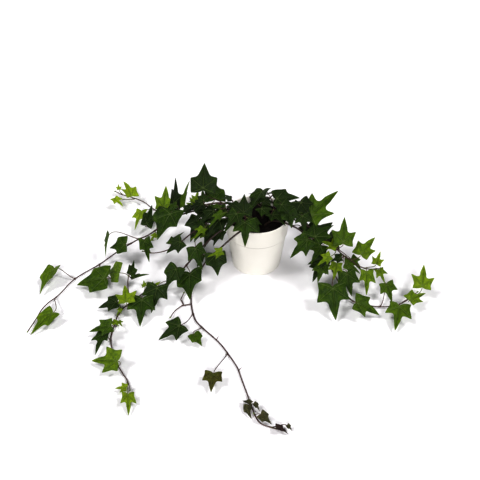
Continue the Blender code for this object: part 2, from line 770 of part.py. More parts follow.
def hang_on_stem(leaf, paths):
    """Finds where a leaf's stalk leaves the nearest stem, a little towards its root."""
    goal = leaf.root or leaf.base
    best = None
    for path in paths:
        for i in range(2, len(path) - 1):
            distance = (path[i] - goal).length
            if best is None or distance < best[0]:
                best = (distance, path, i)
    distance, leaf.stem, nearest = best
    lean = 0.0 if leaf.root else STALK_LEAN
    leaf.stem_point = max(2, nearest - round(lean * distance / STEM_STEP))


Solid = namedtuple("Solid", "tree centre radius vine kind")


def solid_of(vertices, faces, vine, kind):
    centre = sum(vertices, Vector()) / len(vertices)
    radius = max((v - centre).length for v in vertices)
    return Solid(BVHTree.FromPolygons(vertices, faces, epsilon=0.0), centre, radius, vine, kind)


def touches(solid, others):
    for other in others:
        if (other.centre - solid.centre).length > other.radius + solid.radius:
            continue
        same_plant = other.vine == solid.vine
        if same_plant and solid.kind == "stalk" and other.kind in ("stalk", "stem"):
            continue
        if solid.tree.overlap(other.tree):
            return True
    return False


def bend_clear(leaf, placed):
    """Turns or lifts a leaf in small steps until its guards, a little fatter than it
    is, cross nothing that is placed."""
    tries = list(itertools.product(PITCH_TRIES, ROLL_TRIES, LIFT_TRIES, ROOT_TRIES))
    costs = (PITCH_COST, ROLL_COST, LIFT_COST, ROOT_COST)
    tries.sort(key=lambda attempt: sum(cost * abs(change) for cost, change in zip(costs, attempt)))
    reach = leaf.length * BLADE_REACH + STALK_REACH
    near = []
    for other in placed:
        if (other.centre - leaf.base).length < other.radius + reach:
            near.append(other)
    for attempt in tries:
        leaf.bent = attempt
        blade, blade_faces = leaf.blade(BLADE_THICKNESS + 2 * GUARD)
        stalk, stalk_faces = leaf.stalk(GUARD)
        if min(v.z for v in blade) < SURFACE_CLEARANCE:
            continue
        if min(v.z for v in stalk) < SURFACE_CLEARANCE - GUARD:
            continue
        blade_solid = solid_of(blade, blade_faces, leaf.vine, "blade")
        if touches(blade_solid, near):
            continue
        stalk_solid = solid_of(stalk, stalk_faces, leaf.vine, "stalk")
        if touches(stalk_solid, near):
            continue
        free_stalk = solid_of(*leaf.stalk(GUARD, whole=False), leaf.vine, "stalk")
        if free_stalk.tree.overlap(blade_solid.tree):
            continue
        return [blade_solid, stalk_solid]
    return None


def plan_leaves(stems, fixed):
    """All leaves, each bent clear of the stems, the pot, the soil and one another."""
    placed = list(fixed)
    leaves = {}
    for name, vine in VINES.items():
        leaves[name] = []
        for number, row in enumerate(vine.leaves):
            leaf = Leaf(name, number, *row)
            hang_on_stem(leaf, stems[name])
            solids = bend_clear(leaf, placed)
            if solids is None:
                print("no clear place:", name, number)
                continue
            placed += solids
            leaves[name].append(leaf)
    return leaves


def world_solid(obj, kind):
    depsgraph = bpy.context.evaluated_depsgraph_get()
    mesh = obj.evaluated_get(depsgraph).to_mesh()
    vertices = [v.co.copy() for v in mesh.vertices]
    faces = [tuple(p.vertices) for p in mesh.polygons]
    return solid_of(vertices, faces, obj.name, kind)


def stem_tubes(paths, extra):
    """The main stem and then its twigs, as closed tubes."""
    tubes = []
    for k, path in enumerate(paths):
        start = STEM_ROOT_RADIUS if k == 0 else STEM_TIP_RADIUS * 1.2
        radii = [radius + extra for radius in taper(path, start, STEM_TIP_RADIUS)]
        tubes.append(tube(path, radii, STEM_SIDES))
    return tubes


def make_vine(name, paths, leaves, material):
    """Fuses a stem, its twigs, its leaf stalks and its blades into one solid."""
    tubes = stem_tubes(paths, 0.0)
    stem = add_object(name, *tubes[0], material)
    parts = bpy.data.collections.new(name + "_parts")
    bpy.context.scene.collection.children.link(parts)
    for twig in tubes[1:]:
        add_object(name + "_twig", *twig, material, parts)
    for leaf in leaves:
        add_object(name + "_stalk", *leaf.stalk(0.0), material, parts)
        add_object(name + "_blade", *leaf.blade(BLADE_THICKNESS), material, parts)
    union = stem.modifiers.new("grow_together", "BOOLEAN")
    union.operation = "UNION"
    union.operand_type = "COLLECTION"
    union.solver = "EXACT"
    union.collection = parts
    depsgraph = bpy.context.evaluated_depsgraph_get()
    fused = bpy.data.meshes.new_from_object(stem.evaluated_get(depsgraph))
    stem.modifiers.clear()
    stem.data = fused
    for obj in list(parts.objects):
        bpy.data.objects.remove(obj)
    bpy.data.collections.remove(parts)
    return stem


def main():
    clear_scene()
    pot = make_pot(make_material("pot_plastic", POT_COLOUR, 0.4))
    places = [(vine.route[0][0] * MM, vine.route[0][1] * MM) for vine in VINES.values()]
    soil = make_soil(make_material("soil", SOIL_COLOUR, 0.95), places)
    leaf_green = make_material("ivy", LEAF_COLOUR, 0.45)
    stems = {}
    fixed = [world_solid(pot, "pot"), world_solid(soil, "soil")]
    for name, vine in VINES.items():
        stems[name] = stem_paths(vine)
        for vertices, faces in stem_tubes(stems[name], GUARD):
            fixed.append(solid_of(vertices, faces, name, "stem"))
    leaves = plan_leaves(stems, fixed)
    for name in VINES:
        make_vine(name, stems[name], leaves[name], leaf_green)


main()
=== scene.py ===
"""Looks of the potted trailing ivy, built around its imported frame.

The leafy stems grow again here from the same places and rules as the solids, so
that each fine leaf lies on its solid: smooth lobed blades with raised fields
between sunken veins, round stalks, stems with thick joints, and buds. The pot and
the soil are finer than their solids and lie in the same space.

Metres, +Z up. The origin is the centre of the pot's base, and the front is -Y.
"""

import itertools
import math
import random
from collections import namedtuple

import bpy
from mathutils import Matrix, Vector, noise
from mathutils.bvhtree import BVHTree


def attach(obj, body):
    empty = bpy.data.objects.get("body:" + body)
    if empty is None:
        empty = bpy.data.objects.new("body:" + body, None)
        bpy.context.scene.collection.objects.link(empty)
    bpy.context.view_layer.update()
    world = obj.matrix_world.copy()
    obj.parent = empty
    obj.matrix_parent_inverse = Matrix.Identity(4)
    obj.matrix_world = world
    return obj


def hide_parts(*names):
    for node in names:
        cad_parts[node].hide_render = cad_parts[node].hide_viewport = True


MM = 0.001

# The pot and the soil, as their solids are.
RIM_RADIUS = 0.060
POT_HEIGHT = 0.113
BASE_RADIUS = 0.0475
BAND_HEIGHT = 0.036
BAND_STEP = 0.0011
BAND_TAPER = 0.0016
LIP = 0.0008
WALL = 0.0019
POT_FLOOR = 0.003
DRAIN_HOLES = 4
DRAIN_RADIUS = 0.004
DRAIN_RING_RADIUS = 0.028
SOIL_TOP = 0.099
SOIL_EDGE = 0.003

# The fine pot and soil.
CORNER_STEPS = 5
BASE_ROUNDING = 0.0014
BAND_ROUNDING = 0.0003
LIP_ROUNDING = 0.0007
FLOOR_ROUNDING = 0.0012
BAND_UNDERCUT = 0.0006
POT_SIDES = 144
POT_SHARP_DEGREES = 38
HOLE_SIDES = 28
CUTTER_MARGIN = 0.002
SOIL_SIDES = 120
SOIL_RINGS = 34
SOIL_SHARP_DEGREES = 50
SOIL_ROUGHNESS = 0.0022
# How far the soil sinks at its rounded edge, over the edge's height.
SOIL_SINK = 0.6
# The gaps under the soil, beside it and at its top edge.
SOIL_GAPS = (0.0003, 0.0005, 0.0008)
# The soil's lumps: how many to the metre, where their pattern starts and their share.
SOIL_LUMPS = ((70, (0, 0, 0), 0.8), (210, (3, 1, 4), 0.5), (620, (1, 5, 9), 0.25))
CRUMBS = 420
CRUMB_SIZES = (0.0006, 0.0021)
CRUMB_STRETCHES = ((0.7, 1.4), (0.7, 1.4), (0.6, 1.0))
CRUMB_ROUGHNESS = (0.8, 1.15)
CRUMB_RISE = 0.3
CRUMB_MARGIN = 0.003
CRUMB_SIDES = 7
CRUMB_ROWS = 4

# The stems, as their solids are.
STEM_FOOT_Z = 0.074
STEM_LEAVES_SOIL_Z = 0.102
STEM_ROOT_RADIUS = 0.0019
STEM_TIP_RADIUS = 0.0010
TWIG_ROOT_RADIUS = STEM_TIP_RADIUS * 1.2
STEM_SIDES = 5
STEM_STEP = 0.019
STRAIGHT_FOOT = 0.012
CURVE_STEPS = 8

# The leaf stalks and blades, as their solids are.
STALK_RADIUS = 0.0008
STALK_SIDES = 3
STALK_STEPS = 3
TURNING_STALK_STEPS = 5
STALK_END_RADIUS = 0.0003
STALK_INTO_BLADE = 0.0018
STALK_ALONG_STEM = 0.35
STALK_FIRST_BEND = 0.35
STALK_LAST_BEND = 0.30
STALK_ARCH = 0.12
BLADE_THICKNESS = 0.0008
GUARD = 0.0005
SURFACE_CLEARANCE = 0.0006
CUT_SPREAD = (-0.15, 0.10)
WIDTH_SPREAD = (0.94, 1.05)
UNEVEN_SPREAD = (-0.07, 0.07)

# Half of a leaf's outline, from its tip round to the notch at its stalk. Each
# point has its angle from the midrib in degrees and its distance from the stalk
# over the blade's length, once for a deeply cut leaf and once for a shallow one.
OUTLINE = (
    (0, 1.00, 1.00),
    (12, 0.60, 0.70),
    (27, 0.40, 0.58),
    (50, 0.66, 0.62),
    (82, 0.36, 0.50),
    (114, 0.42, 0.50),
    (180, 0.06, 0.08),
)
# Points on the midrib, over the blade's length, and the triangles of one half:
# numbers 0 to 6 are the outline's points, 7 and 8 the midrib's.
MIDRIB = (0.18, 0.56)
HALF_TRIANGLES = ((0, 1, 8), (1, 2, 8), (2, 7, 8), (2, 3, 7), (3, 4, 7), (4, 5, 7), (5, 6, 7))

# Tries that bring a leaf clear of its neighbours, the smallest change first:
# turns in degrees about the blade's side and its midrib, a lift in millimetres
# and a stalk that leaves the stem some steps nearer to the stem's root. The costs
# say how large each change counts.
PITCH_TRIES = (0, 8, -8, 16, -16, 24, -24, 34, -34)
ROLL_TRIES = (0, 12, -12, 24, -24, 38, -38)
LIFT_TRIES = (0, 4, -4, 8, 13, 19)
ROOT_TRIES = (0, 1, -1, 2)
TRY_COSTS = (1.0, 0.7, 2.5, 5.0)
# How far away a leaf can meet something: over the blade's length and for the stalk.
BLADE_REACH = 1.3
STALK_REACH = 0.09
# How far back along the stem a stalk leaves it, over its own length.
STALK_LEAN = 0.35

# The fine blade: the steps of its smooth edge from each outline point to the next,
# the outline points that stay sharp with how full the edge runs into them in
# degrees, and the rings from the stalk to the edge.
EDGE_STEPS = (7, 5, 7, 5, 6, 9)
SHARP_FULLNESS = {0: 5, 3: 7, 5: 16, 6: 34}
BLADE_RINGS = (0.10, 0.22, 0.36, 0.50, 0.64, 0.77, 0.88, 0.96, 1.0)
LEAF_SHARP_DEGREES = 55
# The main veins' angles in degrees, and those with the notch.
LOBE_ANGLES = (0, 50, 114)
FIELD_ENDS = (*LOBE_ANGLES, 180)
# Over the blade's length: how high the fields between the veins rise, how far the
# edge waves and how softly the halves meet at the midrib.
FIELD_RISE = 0.19
EDGE_WAVE = 0.028
MIDRIB_SOFTNESS = 0.012
FIELD_FULLNESS = 0.7
FIELD_FADE = 0.75
# The waves round the edge, large and small, and the small ones' share.
WAVES = 5
SMALL_WAVES = 9
SMALL_WAVE_SHARE = 0.6
FINE_THICKNESS = 0.00050
EDGE_THICKNESS = 0.00022
FLOOR_CLEARANCE = 0.0002

# The fine stems and stalks. Ages colour them: 0 is old bark and 1 young and green.
FINE_STEM_SIDES = 10
FINE_STEM_SPLIT = 8
FINE_STEM_SHARE = 0.86
FINE_STEM_POINT = 0.5
JOINT_SWELL = 0.45
JOINT_LENGTH = 0.0024
STEM_ROUGHNESS = 0.10
STEM_GRAIN = 400
TWIG_AGE = 0.5
OUTER_STEM_AGE = 0.62
FINE_STALK_SIDES = 8
FINE_STALK_STEPS = 14
STALK_MIDDLE_RADIUS = 0.00064
STALK_FOOT_RADIUS = 0.00112
STALK_NECK = 0.9
# A stalk's age at its foot and at its blade: a part of its own, and a share of its leaf's.
STALK_FOOT_AGE = (0.25, 0.5)
STALK_END_AGE = (0.55, 0.6)
MIDDLE_TONE = 0.5

# Buds, at a stem's end and where stalks leave: how far down and to the side they
# lean at random, and their sizes. A profile has shares of the length and radius.
BUD_LENGTH = 0.0032
BUD_RADIUS = 0.0010
BUD_SIDES = 8
BUD_PROFILE = ((0.0, 0.4), (0.15, 0.85), (0.35, 1.0), (0.6, 0.8), (0.85, 0.38), (1.0, 0.05))
BUD_AGES = (0.4, 1.0)
END_BUDS = 3
Leaning = namedtuple("Leaning", "lowest lean sizes")
END_BUD = Leaning(0, 0.5, (0.8, 1.3))
SIDE_BUD = Leaning(-0.3, 0.6, (0.7, 1.2))

# Where the short bare spurs end that dropped leaves have left on a stem, in mm.
SPUR_ENDS = {"vine_front_long": ((-69, -213, 9), (-57, -253, 7), (-29, -282, 9))}
SPUR_RADIUS = 0.0007
SPUR_PROFILE = ((0.0, 1.5), (0.3, 1.0), (0.7, 0.8), (1.0, 0.3))
SPUR_AGES = (0.4, 0.7)

# The veins drawn on a leaf, over the blade's length: a main vein's half width at the
# stalk and how it narrows outwards, how many side veins and net cells there are to
# the length, and how far the side veins waver.
VEIN_WIDTH = 0.020
VEIN_TAPER = 0.013
SIDE_VEINS = 9.0
NET_CELLS = 26.0
VEIN_WOBBLE = 0.05

# Colours by age for green leaves, stems and buds, and by the height of a noise for
# olive and dried leaves, the pot, the soil and the floor.
LEAF_STOPS = (
    (0.00, (0.0085, 0.0185, 0.0038)),
    (0.15, (0.0165, 0.0345, 0.0056)),
    (0.30, (0.0260, 0.0590, 0.0032)),
    (0.60, (0.0930, 0.1600, 0.0060)),
    (1.00, (0.3050, 0.4050, 0.0180)),
)
OLIVE_STOPS = (
    (0.35, (0.042, 0.034, 0.008)),
    (0.65, (0.115, 0.118, 0.022)),
)
DRIED_STOPS = (
    (0.35, (0.012, 0.014, 0.006)),
    (0.50, (0.050, 0.052, 0.018)),
    (0.65, (0.150, 0.135, 0.060)),
)
STEM_STOPS = (
    (0.00, (0.028, 0.018, 0.012)),
    (0.35, (0.056, 0.027, 0.026)),
    (0.70, (0.105, 0.060, 0.046)),
    (1.00, (0.130, 0.160, 0.040)),
)
BUD_STOPS = (
    (0.30, (0.060, 0.035, 0.020)),
    (0.65, (0.110, 0.180, 0.020)),
    (1.00, (0.230, 0.330, 0.060)),
)
POT_STOPS = (
    (0.30, (0.765, 0.740, 0.680)),
    (0.70, (0.815, 0.795, 0.740)),
)
SOIL_STOPS = (
    (0.30, (0.003, 0.002, 0.002)),
    (0.55, (0.010, 0.006, 0.005)),
    (0.80, (0.028, 0.018, 0.012)),
)
FLOOR_STOPS = (
    (0.3, (0.900, 0.888, 0.912)),
    (0.7, (0.915, 0.903, 0.925)),
)
# The ages over which a leaf turns from olive to green, and a dried one purple.
OLIVE_AGES = (-0.40, -0.20)
PURPLE_AGES = (0.30, 0.50)
# A line of painted shade on the pot, where the rim band's shadow falls: where it starts and fades out,
# below the rim band.
SHADE_LINE_START = (-0.0002, 0.0)
SHADE_LINE_END = (0.0016, 0.0036)
# The part of a noise's range that most of its values lie in.
NOISE_RANGE = (0.3, 0.7)

# The studio.
CAMERA_PLACE = (-0.032, -1.0103, 0.8681)
CAMERA_DOWN_DEGREES = 39.0
CAMERA_LENS = 50.475
CAMERA_SENSOR = 36.0
FLOOR_REACH = 6.0
LIGHT_SPREAD_DEGREES = 16
LAMP_WHITE = (1.0, 0.995, 0.985)
# Each light's name, the point whose direction it comes from and its strength.
LIGHTS = (
    ("left_light", (-0.85, -0.20, 1.30), 1.35),
    ("right_light", (0.80, -0.20, 1.30), 1.35),
    ("front_light", (0.0, -0.85, 0.60), 1.60),
)
# The room's light by the sine of the height above the horizon.
ROOM_COLOUR = (0.94, 0.93, 1.0)
WALL_TOP = 0.15
WALL_LIGHT = 0.35
CEILING_START = 0.35
CEILING_LIGHT = 0.06
VIEW_EXPOSURE = 0.30
VIEW_GAMMA = 0.72

# How a leaf of each kind looks: how deeply it is cut, its width over that of a
# full leaf, how far its halves fold up, how far its lobes bend back down, how far
# its tip droops, and its age, from 0 for old and dark to 1 for young and bright.
Look = namedtuple("Look", "cut width fold curl droop age")
LOOKS = {
    "old": Look(0.60, 1.00, 0.20, 0.22, 0.12, 0.10),
    "broad": Look(0.20, 1.04, 0.16, 0.20, 0.12, 0.30),
    "mid": Look(0.80, 0.98, 0.22, 0.22, 0.14, 0.38),
    "slim": Look(0.85, 0.76, 0.24, 0.18, 0.12, 0.56),
    "oval": Look(0.15, 0.62, 0.26, 0.16, 0.12, 0.62),
    "young": Look(1.00, 0.94, 0.24, 0.16, 0.10, 0.76),
    "narrow": Look(0.50, 0.66, 0.40, 0.10, 0.12, 0.28),
    "dried": Look(0.25, 0.85, 0.55, 0.35, 0.30, 0.0),
}
AGE_SPREAD = 0.10

# The leafy stems' routes, from the soil outwards, as points (x, y, z) in millimetres.
ROUTES = {
    "vine_left_long": (
        (-30, 6, 104), (-38, 6, 114), (-60, 9, 118), (-98, 11, 116), (-127, 12, 108), (-152, 15, 96),
        (-174, 15, 82), (-206, 8, 58), (-232, 8, 44), (-253, 5, 31), (-275, 0, 18), (-304, -19, 6),
        (-326, -37, 3), (-344, -56, 3), (-358, -80, 3), (-368, -104, 3), (-388, -133, 3), (-396, -167, 3),
        (-403, -197, 4),
    ),
    "vine_left_upper": (
        (-27, 20, 104), (-36, 24, 114), (-55, 28, 117), (-85, 30, 110), (-112, 40, 98), (-135, 54, 82),
        (-161, 74, 62), (-188, 101, 40), (-207, 125, 28), (-221, 147, 20), (-241, 178, 12), (-266, 200, 7),
        (-292, 215, 5), (-310, 226, 6),
    ),
    "vine_left_middle": (
        (-33, -7, 104), (-42, -8, 114), (-59, -11, 117), (-90, -18, 108), (-125, -28, 86), (-155, -32, 60),
        (-180, -28, 44), (-202, -20, 34), (-220, -8, 28),
    ),
    "vine_left_front": (
        (-24, -17, 104), (-32, -24, 114), (-48, -38, 117), (-75, -52, 106), (-100, -61, 84),
        (-124, -68, 56), (-146, -78, 32), (-170, -88, 16), (-192, -93, 8), (-208, -98, 5), (-224, -116, 4),
        (-245, -142, 4), (-252, -164, 4), (-254, -188, 3), (-256, -209, 3), (-251, -232, 3),
        (-240, -263, 3), (-225, -289, 3), (-214, -307, 3), (-208, -324, 4),
    ),
    "vine_front_long": (
        (-12, -27, 104), (-17, -36, 114), (-28, -54, 117), (-44, -67, 112), (-57, -75, 104), (-69, -78, 92),
        (-88, -70, 66), (-104, -70, 38), (-115, -78, 16), (-122, -97, 5), (-122, -118, 3), (-119, -141, 3),
        (-112, -168, 3), (-97, -189, 3), (-81, -207, 3), (-66, -225, 3), (-54, -245, 3), (-45, -261, 3),
        (-35, -282, 3), (-29, -304, 3), (-21, -331, 3), (-12, -362, 3), (-6, -382, 3), (5, -390, 3),
        (20, -396, 3), (34, -401, 3),
    ),
    "vine_right_back": (
        (27, 7, 104), (36, 7, 114), (58, 4, 117), (85, -2, 112), (104, -14, 100), (118, -28, 86),
    ),
    "vine_right_upper": (
        (22, -8, 104), (32, -11, 114), (56, -18, 117), (84, -26, 111), (113, -43, 99), (137, -61, 87),
        (154, -74, 76), (174, -75, 61), (190, -74, 46), (206, -69, 37), (221, -64, 31), (232, -58, 28),
    ),
    "vine_right_lower": (
        (14, -20, 104), (24, -24, 114), (50, -33, 117), (80, -43, 106), (106, -55, 84), (127, -70, 58),
        (145, -87, 33), (158, -102, 14), (168, -115, 6), (182, -126, 4), (211, -135, 4), (240, -136, 5),
        (262, -132, 9), (280, -122, 14), (292, -113, 18),
    ),
    "crown_left": (
        (-16, 8, 104), (-22, 12, 115), (-40, 18, 122), (-64, 20, 123), (-86, 22, 120), (-102, 24, 113),
    ),
    "crown_front": (
        (-8, -12, 104), (-10, -18, 118), (-18, -30, 127), (-32, -44, 126),
    ),
    "crown_right": (
        (10, 3, 104), (14, 6, 116), (26, 2, 121), (44, -10, 121),
    ),
    "crown_back": (
        (6, 20, 104), (14, 30, 114), (30, 53, 117), (36, 68, 108), (38, 78, 90), (38, 84, 66),
    ),
}
# The twigs' routes, each from its stem outwards.
TWIGS = {
    "vine_left_front": (
        ((-232, -126, 5), (-238, -104, 16), (-240, -84, 26), (-234, -64, 34)),
    ),
    "vine_front_long": (
        ((-121, -128, 3), (-134, -130, 3), (-145, -139, 3), (-153, -152, 3), (-156, -162, 4)),
        ((-135, -130, 3), (-141, -117, 3), (-137, -101, 4)),
    ),
}
# The leaves on each stem: the base of the blade and its tip in millimetres, its kind,
# its roll about its midrib in degrees, its age where that isn't its kind's, and the
# point on the stem where its stalk leaves, where that isn't the nearest one. An age
# well below 0 makes a leaf olive, and a high one makes a dried leaf purple.
LEAVES = {
    "vine_left_long": (
        ((-386, -56, 22), (-405, -106, 12), "oval", 20),
        ((-366, -168, 17), (-396, -206, 8), "oval", -12, None, (-368, -104, 3)),
        ((-284, -86, 28), (-340, -84, 15), "broad", -10, 0.36, (-304, -19, 6)),
        ((-256, -2, 40), (-290, 4, 28), "broad", -30, 0.32),
        ((-287, 12, 50), (-295, -24, 30), "narrow", 75, 0.60, (-253, 5, 31)),
        ((-126, 14, 116), (-151, 6, 106), "old"),
        ((-155, 32, 108), (-180, 26, 98), "mid"),
        ((-164, 9, 106), (-188, -39, 86), "broad", 0, 0.24),
        ((-192, -7, 68), (-203, -20, 64), "young", 0, 0.90),
    ),
    "vine_left_upper": (
        ((-299, 216, 20), (-302, 228, 26), "young", 0, 1.00),
        ((-302, 175, 22), (-282, 158, 16), "young", 0, 0.92),
        ((-268, 186, 25), (-288, 226, 38), "slim", 10, 0.84),
        ((-238, 116, 30), (-250, 78, 16), "slim", 10, 0.78),
        ((-223, 79, 29), (-212, 118, 50), "narrow", 36, 0.16),
        ((-176, 70, 60), (-198, 30, 36), "broad"),
        ((-189, 115, 45), (-185, 152, 75), "mid", 20, 0.62),
        ((-164, 69, 84), (-156, 111, 118), "narrow", 62, 0.12),
        ((-140, 62, 92), (-136, 96, 124), "narrow", -58, 0.44),
        ((-152, 54, 72), (-170, 42, 62), "young", 0, 0.55),
        ((-120, 42, 100), (-130, 66, 110), "young"),
        ((-175, 69, 76), (-155, 48, 62), "old"),
    ),
    "vine_left_middle": (
        ((-161, -24, 62), (-141, 0, 74), "mid", -10),
        ((-216, -4, 50), (-205, -38, 28), "narrow", 0, 0.34),
        ((-204, 3, 46), (-193, 6, 47), "young", -20),
        ((-113, -62, 76), (-103, -95, 54), "mid", 0, 0.20),
        ((-142, -48, 84), (-170, -58, 66), "old", -20),
        ((-97, -28, 102), (-117, -58, 90), "old"),
        ((-109, -1, 102), (-127, -39, 86), "old"),
        ((-97, -39, 96), (-124, -47, 88), "slim"),
        ((-100, -40, 104), (-116, -59, 98), "young", 0, 0.72),
    ),
    "vine_left_front": (
        ((-259, -72, 30), (-287, -50, 14), "broad", -45, 0.68),
        ((-236, -78, 30), (-229, -50, 40), "narrow", 50),
        ((-230, -80, 26), (-203, -71, 32), "narrow", -60),
        ((-150, -78, 44), (-170, -105, 22), "broad", 0, 0.14),
        ((-125, -80, 32), (-125, -132, 22), "broad", 0, 0.20),
        ((-183, -112, 28), (-192, -155, 10), "old", 0, 0.24),
        ((-208, -140, 25), (-208, -188, 10), "mid", 0, 0.26),
        ((-207, -104, 26), (-210, -92, 30), "young", -30),
        ((-192, -108, 30), (-178, -98, 36), "young"),
        ((-234, -150, 32), (-242, -111, 38), "young"),
        ((-255, -140, 20), (-289, -145, 12), "old", -10),
        ((-256, -205, 26), (-293, -210, 18), "slim", -30, 0.34),
        ((-266, -212, 14), (-276, -252, 5), "slim", 10, 0.26),
        ((-235, -280, 22), (-281, -270, 14), "mid", -25, 0.72),
        ((-214, -327, 12), (-232, -325, 10), "young", -10, 0.95),
        ((-208, -343, 14), (-203, -374, 6), "slim", -20, 0.86),
        ((-246, -180, 10), (-238, -190, 10), "young"),
        ((-262, -196, 12), (-270, -186, 14), "young"),
        ((-67, -43, 104), (-83, -59, 84), "old"),
        ((-88, -28, 92), (-99, -48, 70), "old"),
        ((-245, -154, 16), (-253, -163, 8), "young"),
        ((-251, -196, 14), (-240, -204, 8), "young"),
    ),
    "vine_front_long": (
        ((-77, -80, 82), (-71, -109, 60), "broad", 0, 0.22),
        ((-66, -88, 94), (-92, -92, 86), "young", -10),
        ((-137, -197, 18), (-173, -218, 8), "old", -10),
        ((-110, -217, 16), (-96, -235, 10), "broad", 0, 0.40),
        ((-75, -303, 16), (-78, -334, 13), "old", 0, -0.60, (-55, -243, 3)),
        ((-18, -356, 11), (-30, -345, 9), "dried", 20),
        ((-10, -358, 11), (0, -366, 8), "dried", -20),
        ((-18, -361, 11), (-18, -380, 6), "dried", 20),
        ((1, -379, 12), (16, -391, 8), "dried", 20),
        ((40, -396, 9), (47, -402, 7), "dried"),
        ((24, -402, 11), (42, -405, 8), "dried", -20, 0.60),
        ((-101, -59, 60), (-114, -70, 40), "slim", 0, 0.24),
    ),
    "vine_right_back": (
        ((37, 16, 136), (79, 16, 142), "broad", 15, 0.10),
        ((101, -13, 119), (155, 38, 144), "slim", 20, 0.44),
        ((104, -36, 88), (144, -6, 100), "old", 20),
        ((72, 12, 118), (98, 2, 104), "old", 10),
        ((81, 5, 116), (99, -29, 100), "old"),
    ),
    "vine_right_upper": (
        ((140, -72, 92), (114, -57, 96), "young", -10, 0.72),
        ((155, -66, 86), (159, -30, 117), "mid", 0, 0.48),
        ((190, -75, 79), (214, -50, 100), "mid", 0, 0.66),
        ((219, -76, 57), (226, -62, 74), "young", 0, 0.84),
        ((150, -84, 76), (130, -84, 68), "old", -10),
        ((128, -93, 86), (106, -99, 72), "young", -10, 0.84),
        ((144, -86, 66), (138, -106, 46), "young", 0, 0.76),
        ((162, -82, 64), (196, -84, 48), "mid", 30),
        ((200, -89, 44), (198, -124, 22), "slim", 0, 0.58),
        ((226, -78, 40), (236, -98, 26), "young", 0, 0.66),
        ((116, -62, 84), (96, -88, 66), "mid"),
        ((135, -35, 88), (155, -54, 70), "old"),
        ((175, -65, 60), (196, -79, 48), "mid"),
        ((82, -24, 126), (86, -54, 110), "mid", 0, 0.12),
        ((103, -68, 112), (139, -37, 120), "old", 0, 0.30),
        ((56, -24, 127), (62, -49, 110), "broad", 0, 0.20),
    ),
    "vine_right_lower": (
        ((135, -124, 38), (138, -176, 12), "old", 0, 0.26),
        ((162, -100, 52), (169, -127, 20), "old", 0, 0.30),
        ((177, -152, 28), (219, -162, 12), "mid", 15),
        ((252, -153, 20), (238, -198, 6), "mid", 0, 0.50),
        ((302, -105, 27), (311, -65, 46), "young"),
        ((275, -139, 24), (309, -115, 22), "slim", 10, 0.70),
        ((236, -106, 30), (243, -134, 14), "mid", 25, 0.48),
        ((118, -86, 58), (108, -112, 42), "mid"),
        ((122, -76, 66), (92, -84, 54), "old"),
        ((90, -64, 102), (53, -78, 76), "mid", -15, 0.30, (90, -48, 98)),
        ((85, -20, 100), (113, -36, 84), "old"),
        ((120, -65, 50), (101, -92, 30), "old"),
    ),
    "crown_left": (
        ((-101, 28, 152), (-99, 60, 188), "broad", 0, 0.20),
        ((-80, 34, 125), (-86, 66, 146), "broad", 10, 0.30),
        ((-117, 50, 108), (-113, 66, 122), "young"),
        ((-62, -4, 126), (-92, -10, 118), "old"),
        ((-80, -12, 120), (-108, -32, 108), "old"),
        ((-102, 8, 116), (-136, 6, 104), "old"),
        ((-70, -28, 120), (-92, -58, 106), "old"),
        ((-112, 28, 108), (-130, 44, 114), "old", 40),
        ((-50, 26, 128), (-70, 34, 126), "old", 70),
        ((-98, -2, 106), (-120, -18, 94), "old"),
        ((-99, -2, 126), (-101, 16, 140), "old"),
        ((-71, -9, 126), (-93, -2, 130), "mid", 0, 0.36),
    ),
    "crown_front": (
        ((-26, -24, 134), (-24, 2, 158), "broad", 0, 0.10),
        ((-23, -46, 128), (-23, -82, 100), "mid", 0, 0.24),
        ((-38, -36, 132), (-62, -64, 114), "mid", 0, 0.20),
        ((-8, -30, 126), (6, -56, 116), "mid", -30, 0.26),
        ((-46, -12, 130), (-74, -22, 122), "old"),
        ((-65, -29, 116), (-90, -52, 104), "slim", 0, 0.46),
        ((-39, -2, 130), (-62, 17, 128), "old"),
    ),
    "crown_right": (
        ((8, -2, 126), (32, -24, 118), "mid", 0, 0.16),
        ((28, -18, 124), (50, -44, 114), "mid", 0, 0.22),
        ((12, 14, 131), (40, 18, 130), "old"),
        ((0, 10, 130), (-14, 36, 126), "old", -20),
        ((8, 28, 122), (22, 36, 124), "young"),
        ((9, 24, 128), (-14, -12, 124), "old"),
        ((44, -12, 124), (63, -42, 112), "old"),
    ),
    "crown_back": (
        ((28, 70, 102), (2, 90, 82), "old"),
        ((50, 72, 96), (76, 88, 76), "old"),
        ((30, 90, 78), (10, 108, 52), "mid", 0, 0.16),
        ((48, 88, 68), (70, 104, 44), "mid", 0, 0.20),
        ((38, 94, 56), (38, 108, 22), "mid", 0, 0.14),
        ((10, 51, 118), (-16, 60, 116), "old"),
    ),
}


def catmull_rom(points, steps):
    """A smooth polyline through the points, with steps to each span."""
    ends = [points[0] * 2 - points[1], *points, points[-1] * 2 - points[-2]]
    path = []
    for i in range(1, len(ends) - 2):
        a, b, c, d = ends[i - 1 : i + 3]
        for k in range(steps):
            t = k / steps
            bend = (2 * a - 5 * b + 4 * c - d) * t**2 + (3 * b - a - 3 * c + d) * t**3
            path.append((2 * b + (c - a) * t + bend) * 0.5)
    path.append(points[-1].copy())
    return path


def bezier(start, first, second, end, steps):
    """A curve from its start to its end that leaves and arrives by its two bends."""
    line = []
    for k in range(steps + 1):
        t = k / steps
        leaving = start * (1 - t) ** 3 + first * 3 * t * (1 - t) ** 2
        line.append(leaving + second * 3 * t**2 * (1 - t) + end * t**3)
    return line


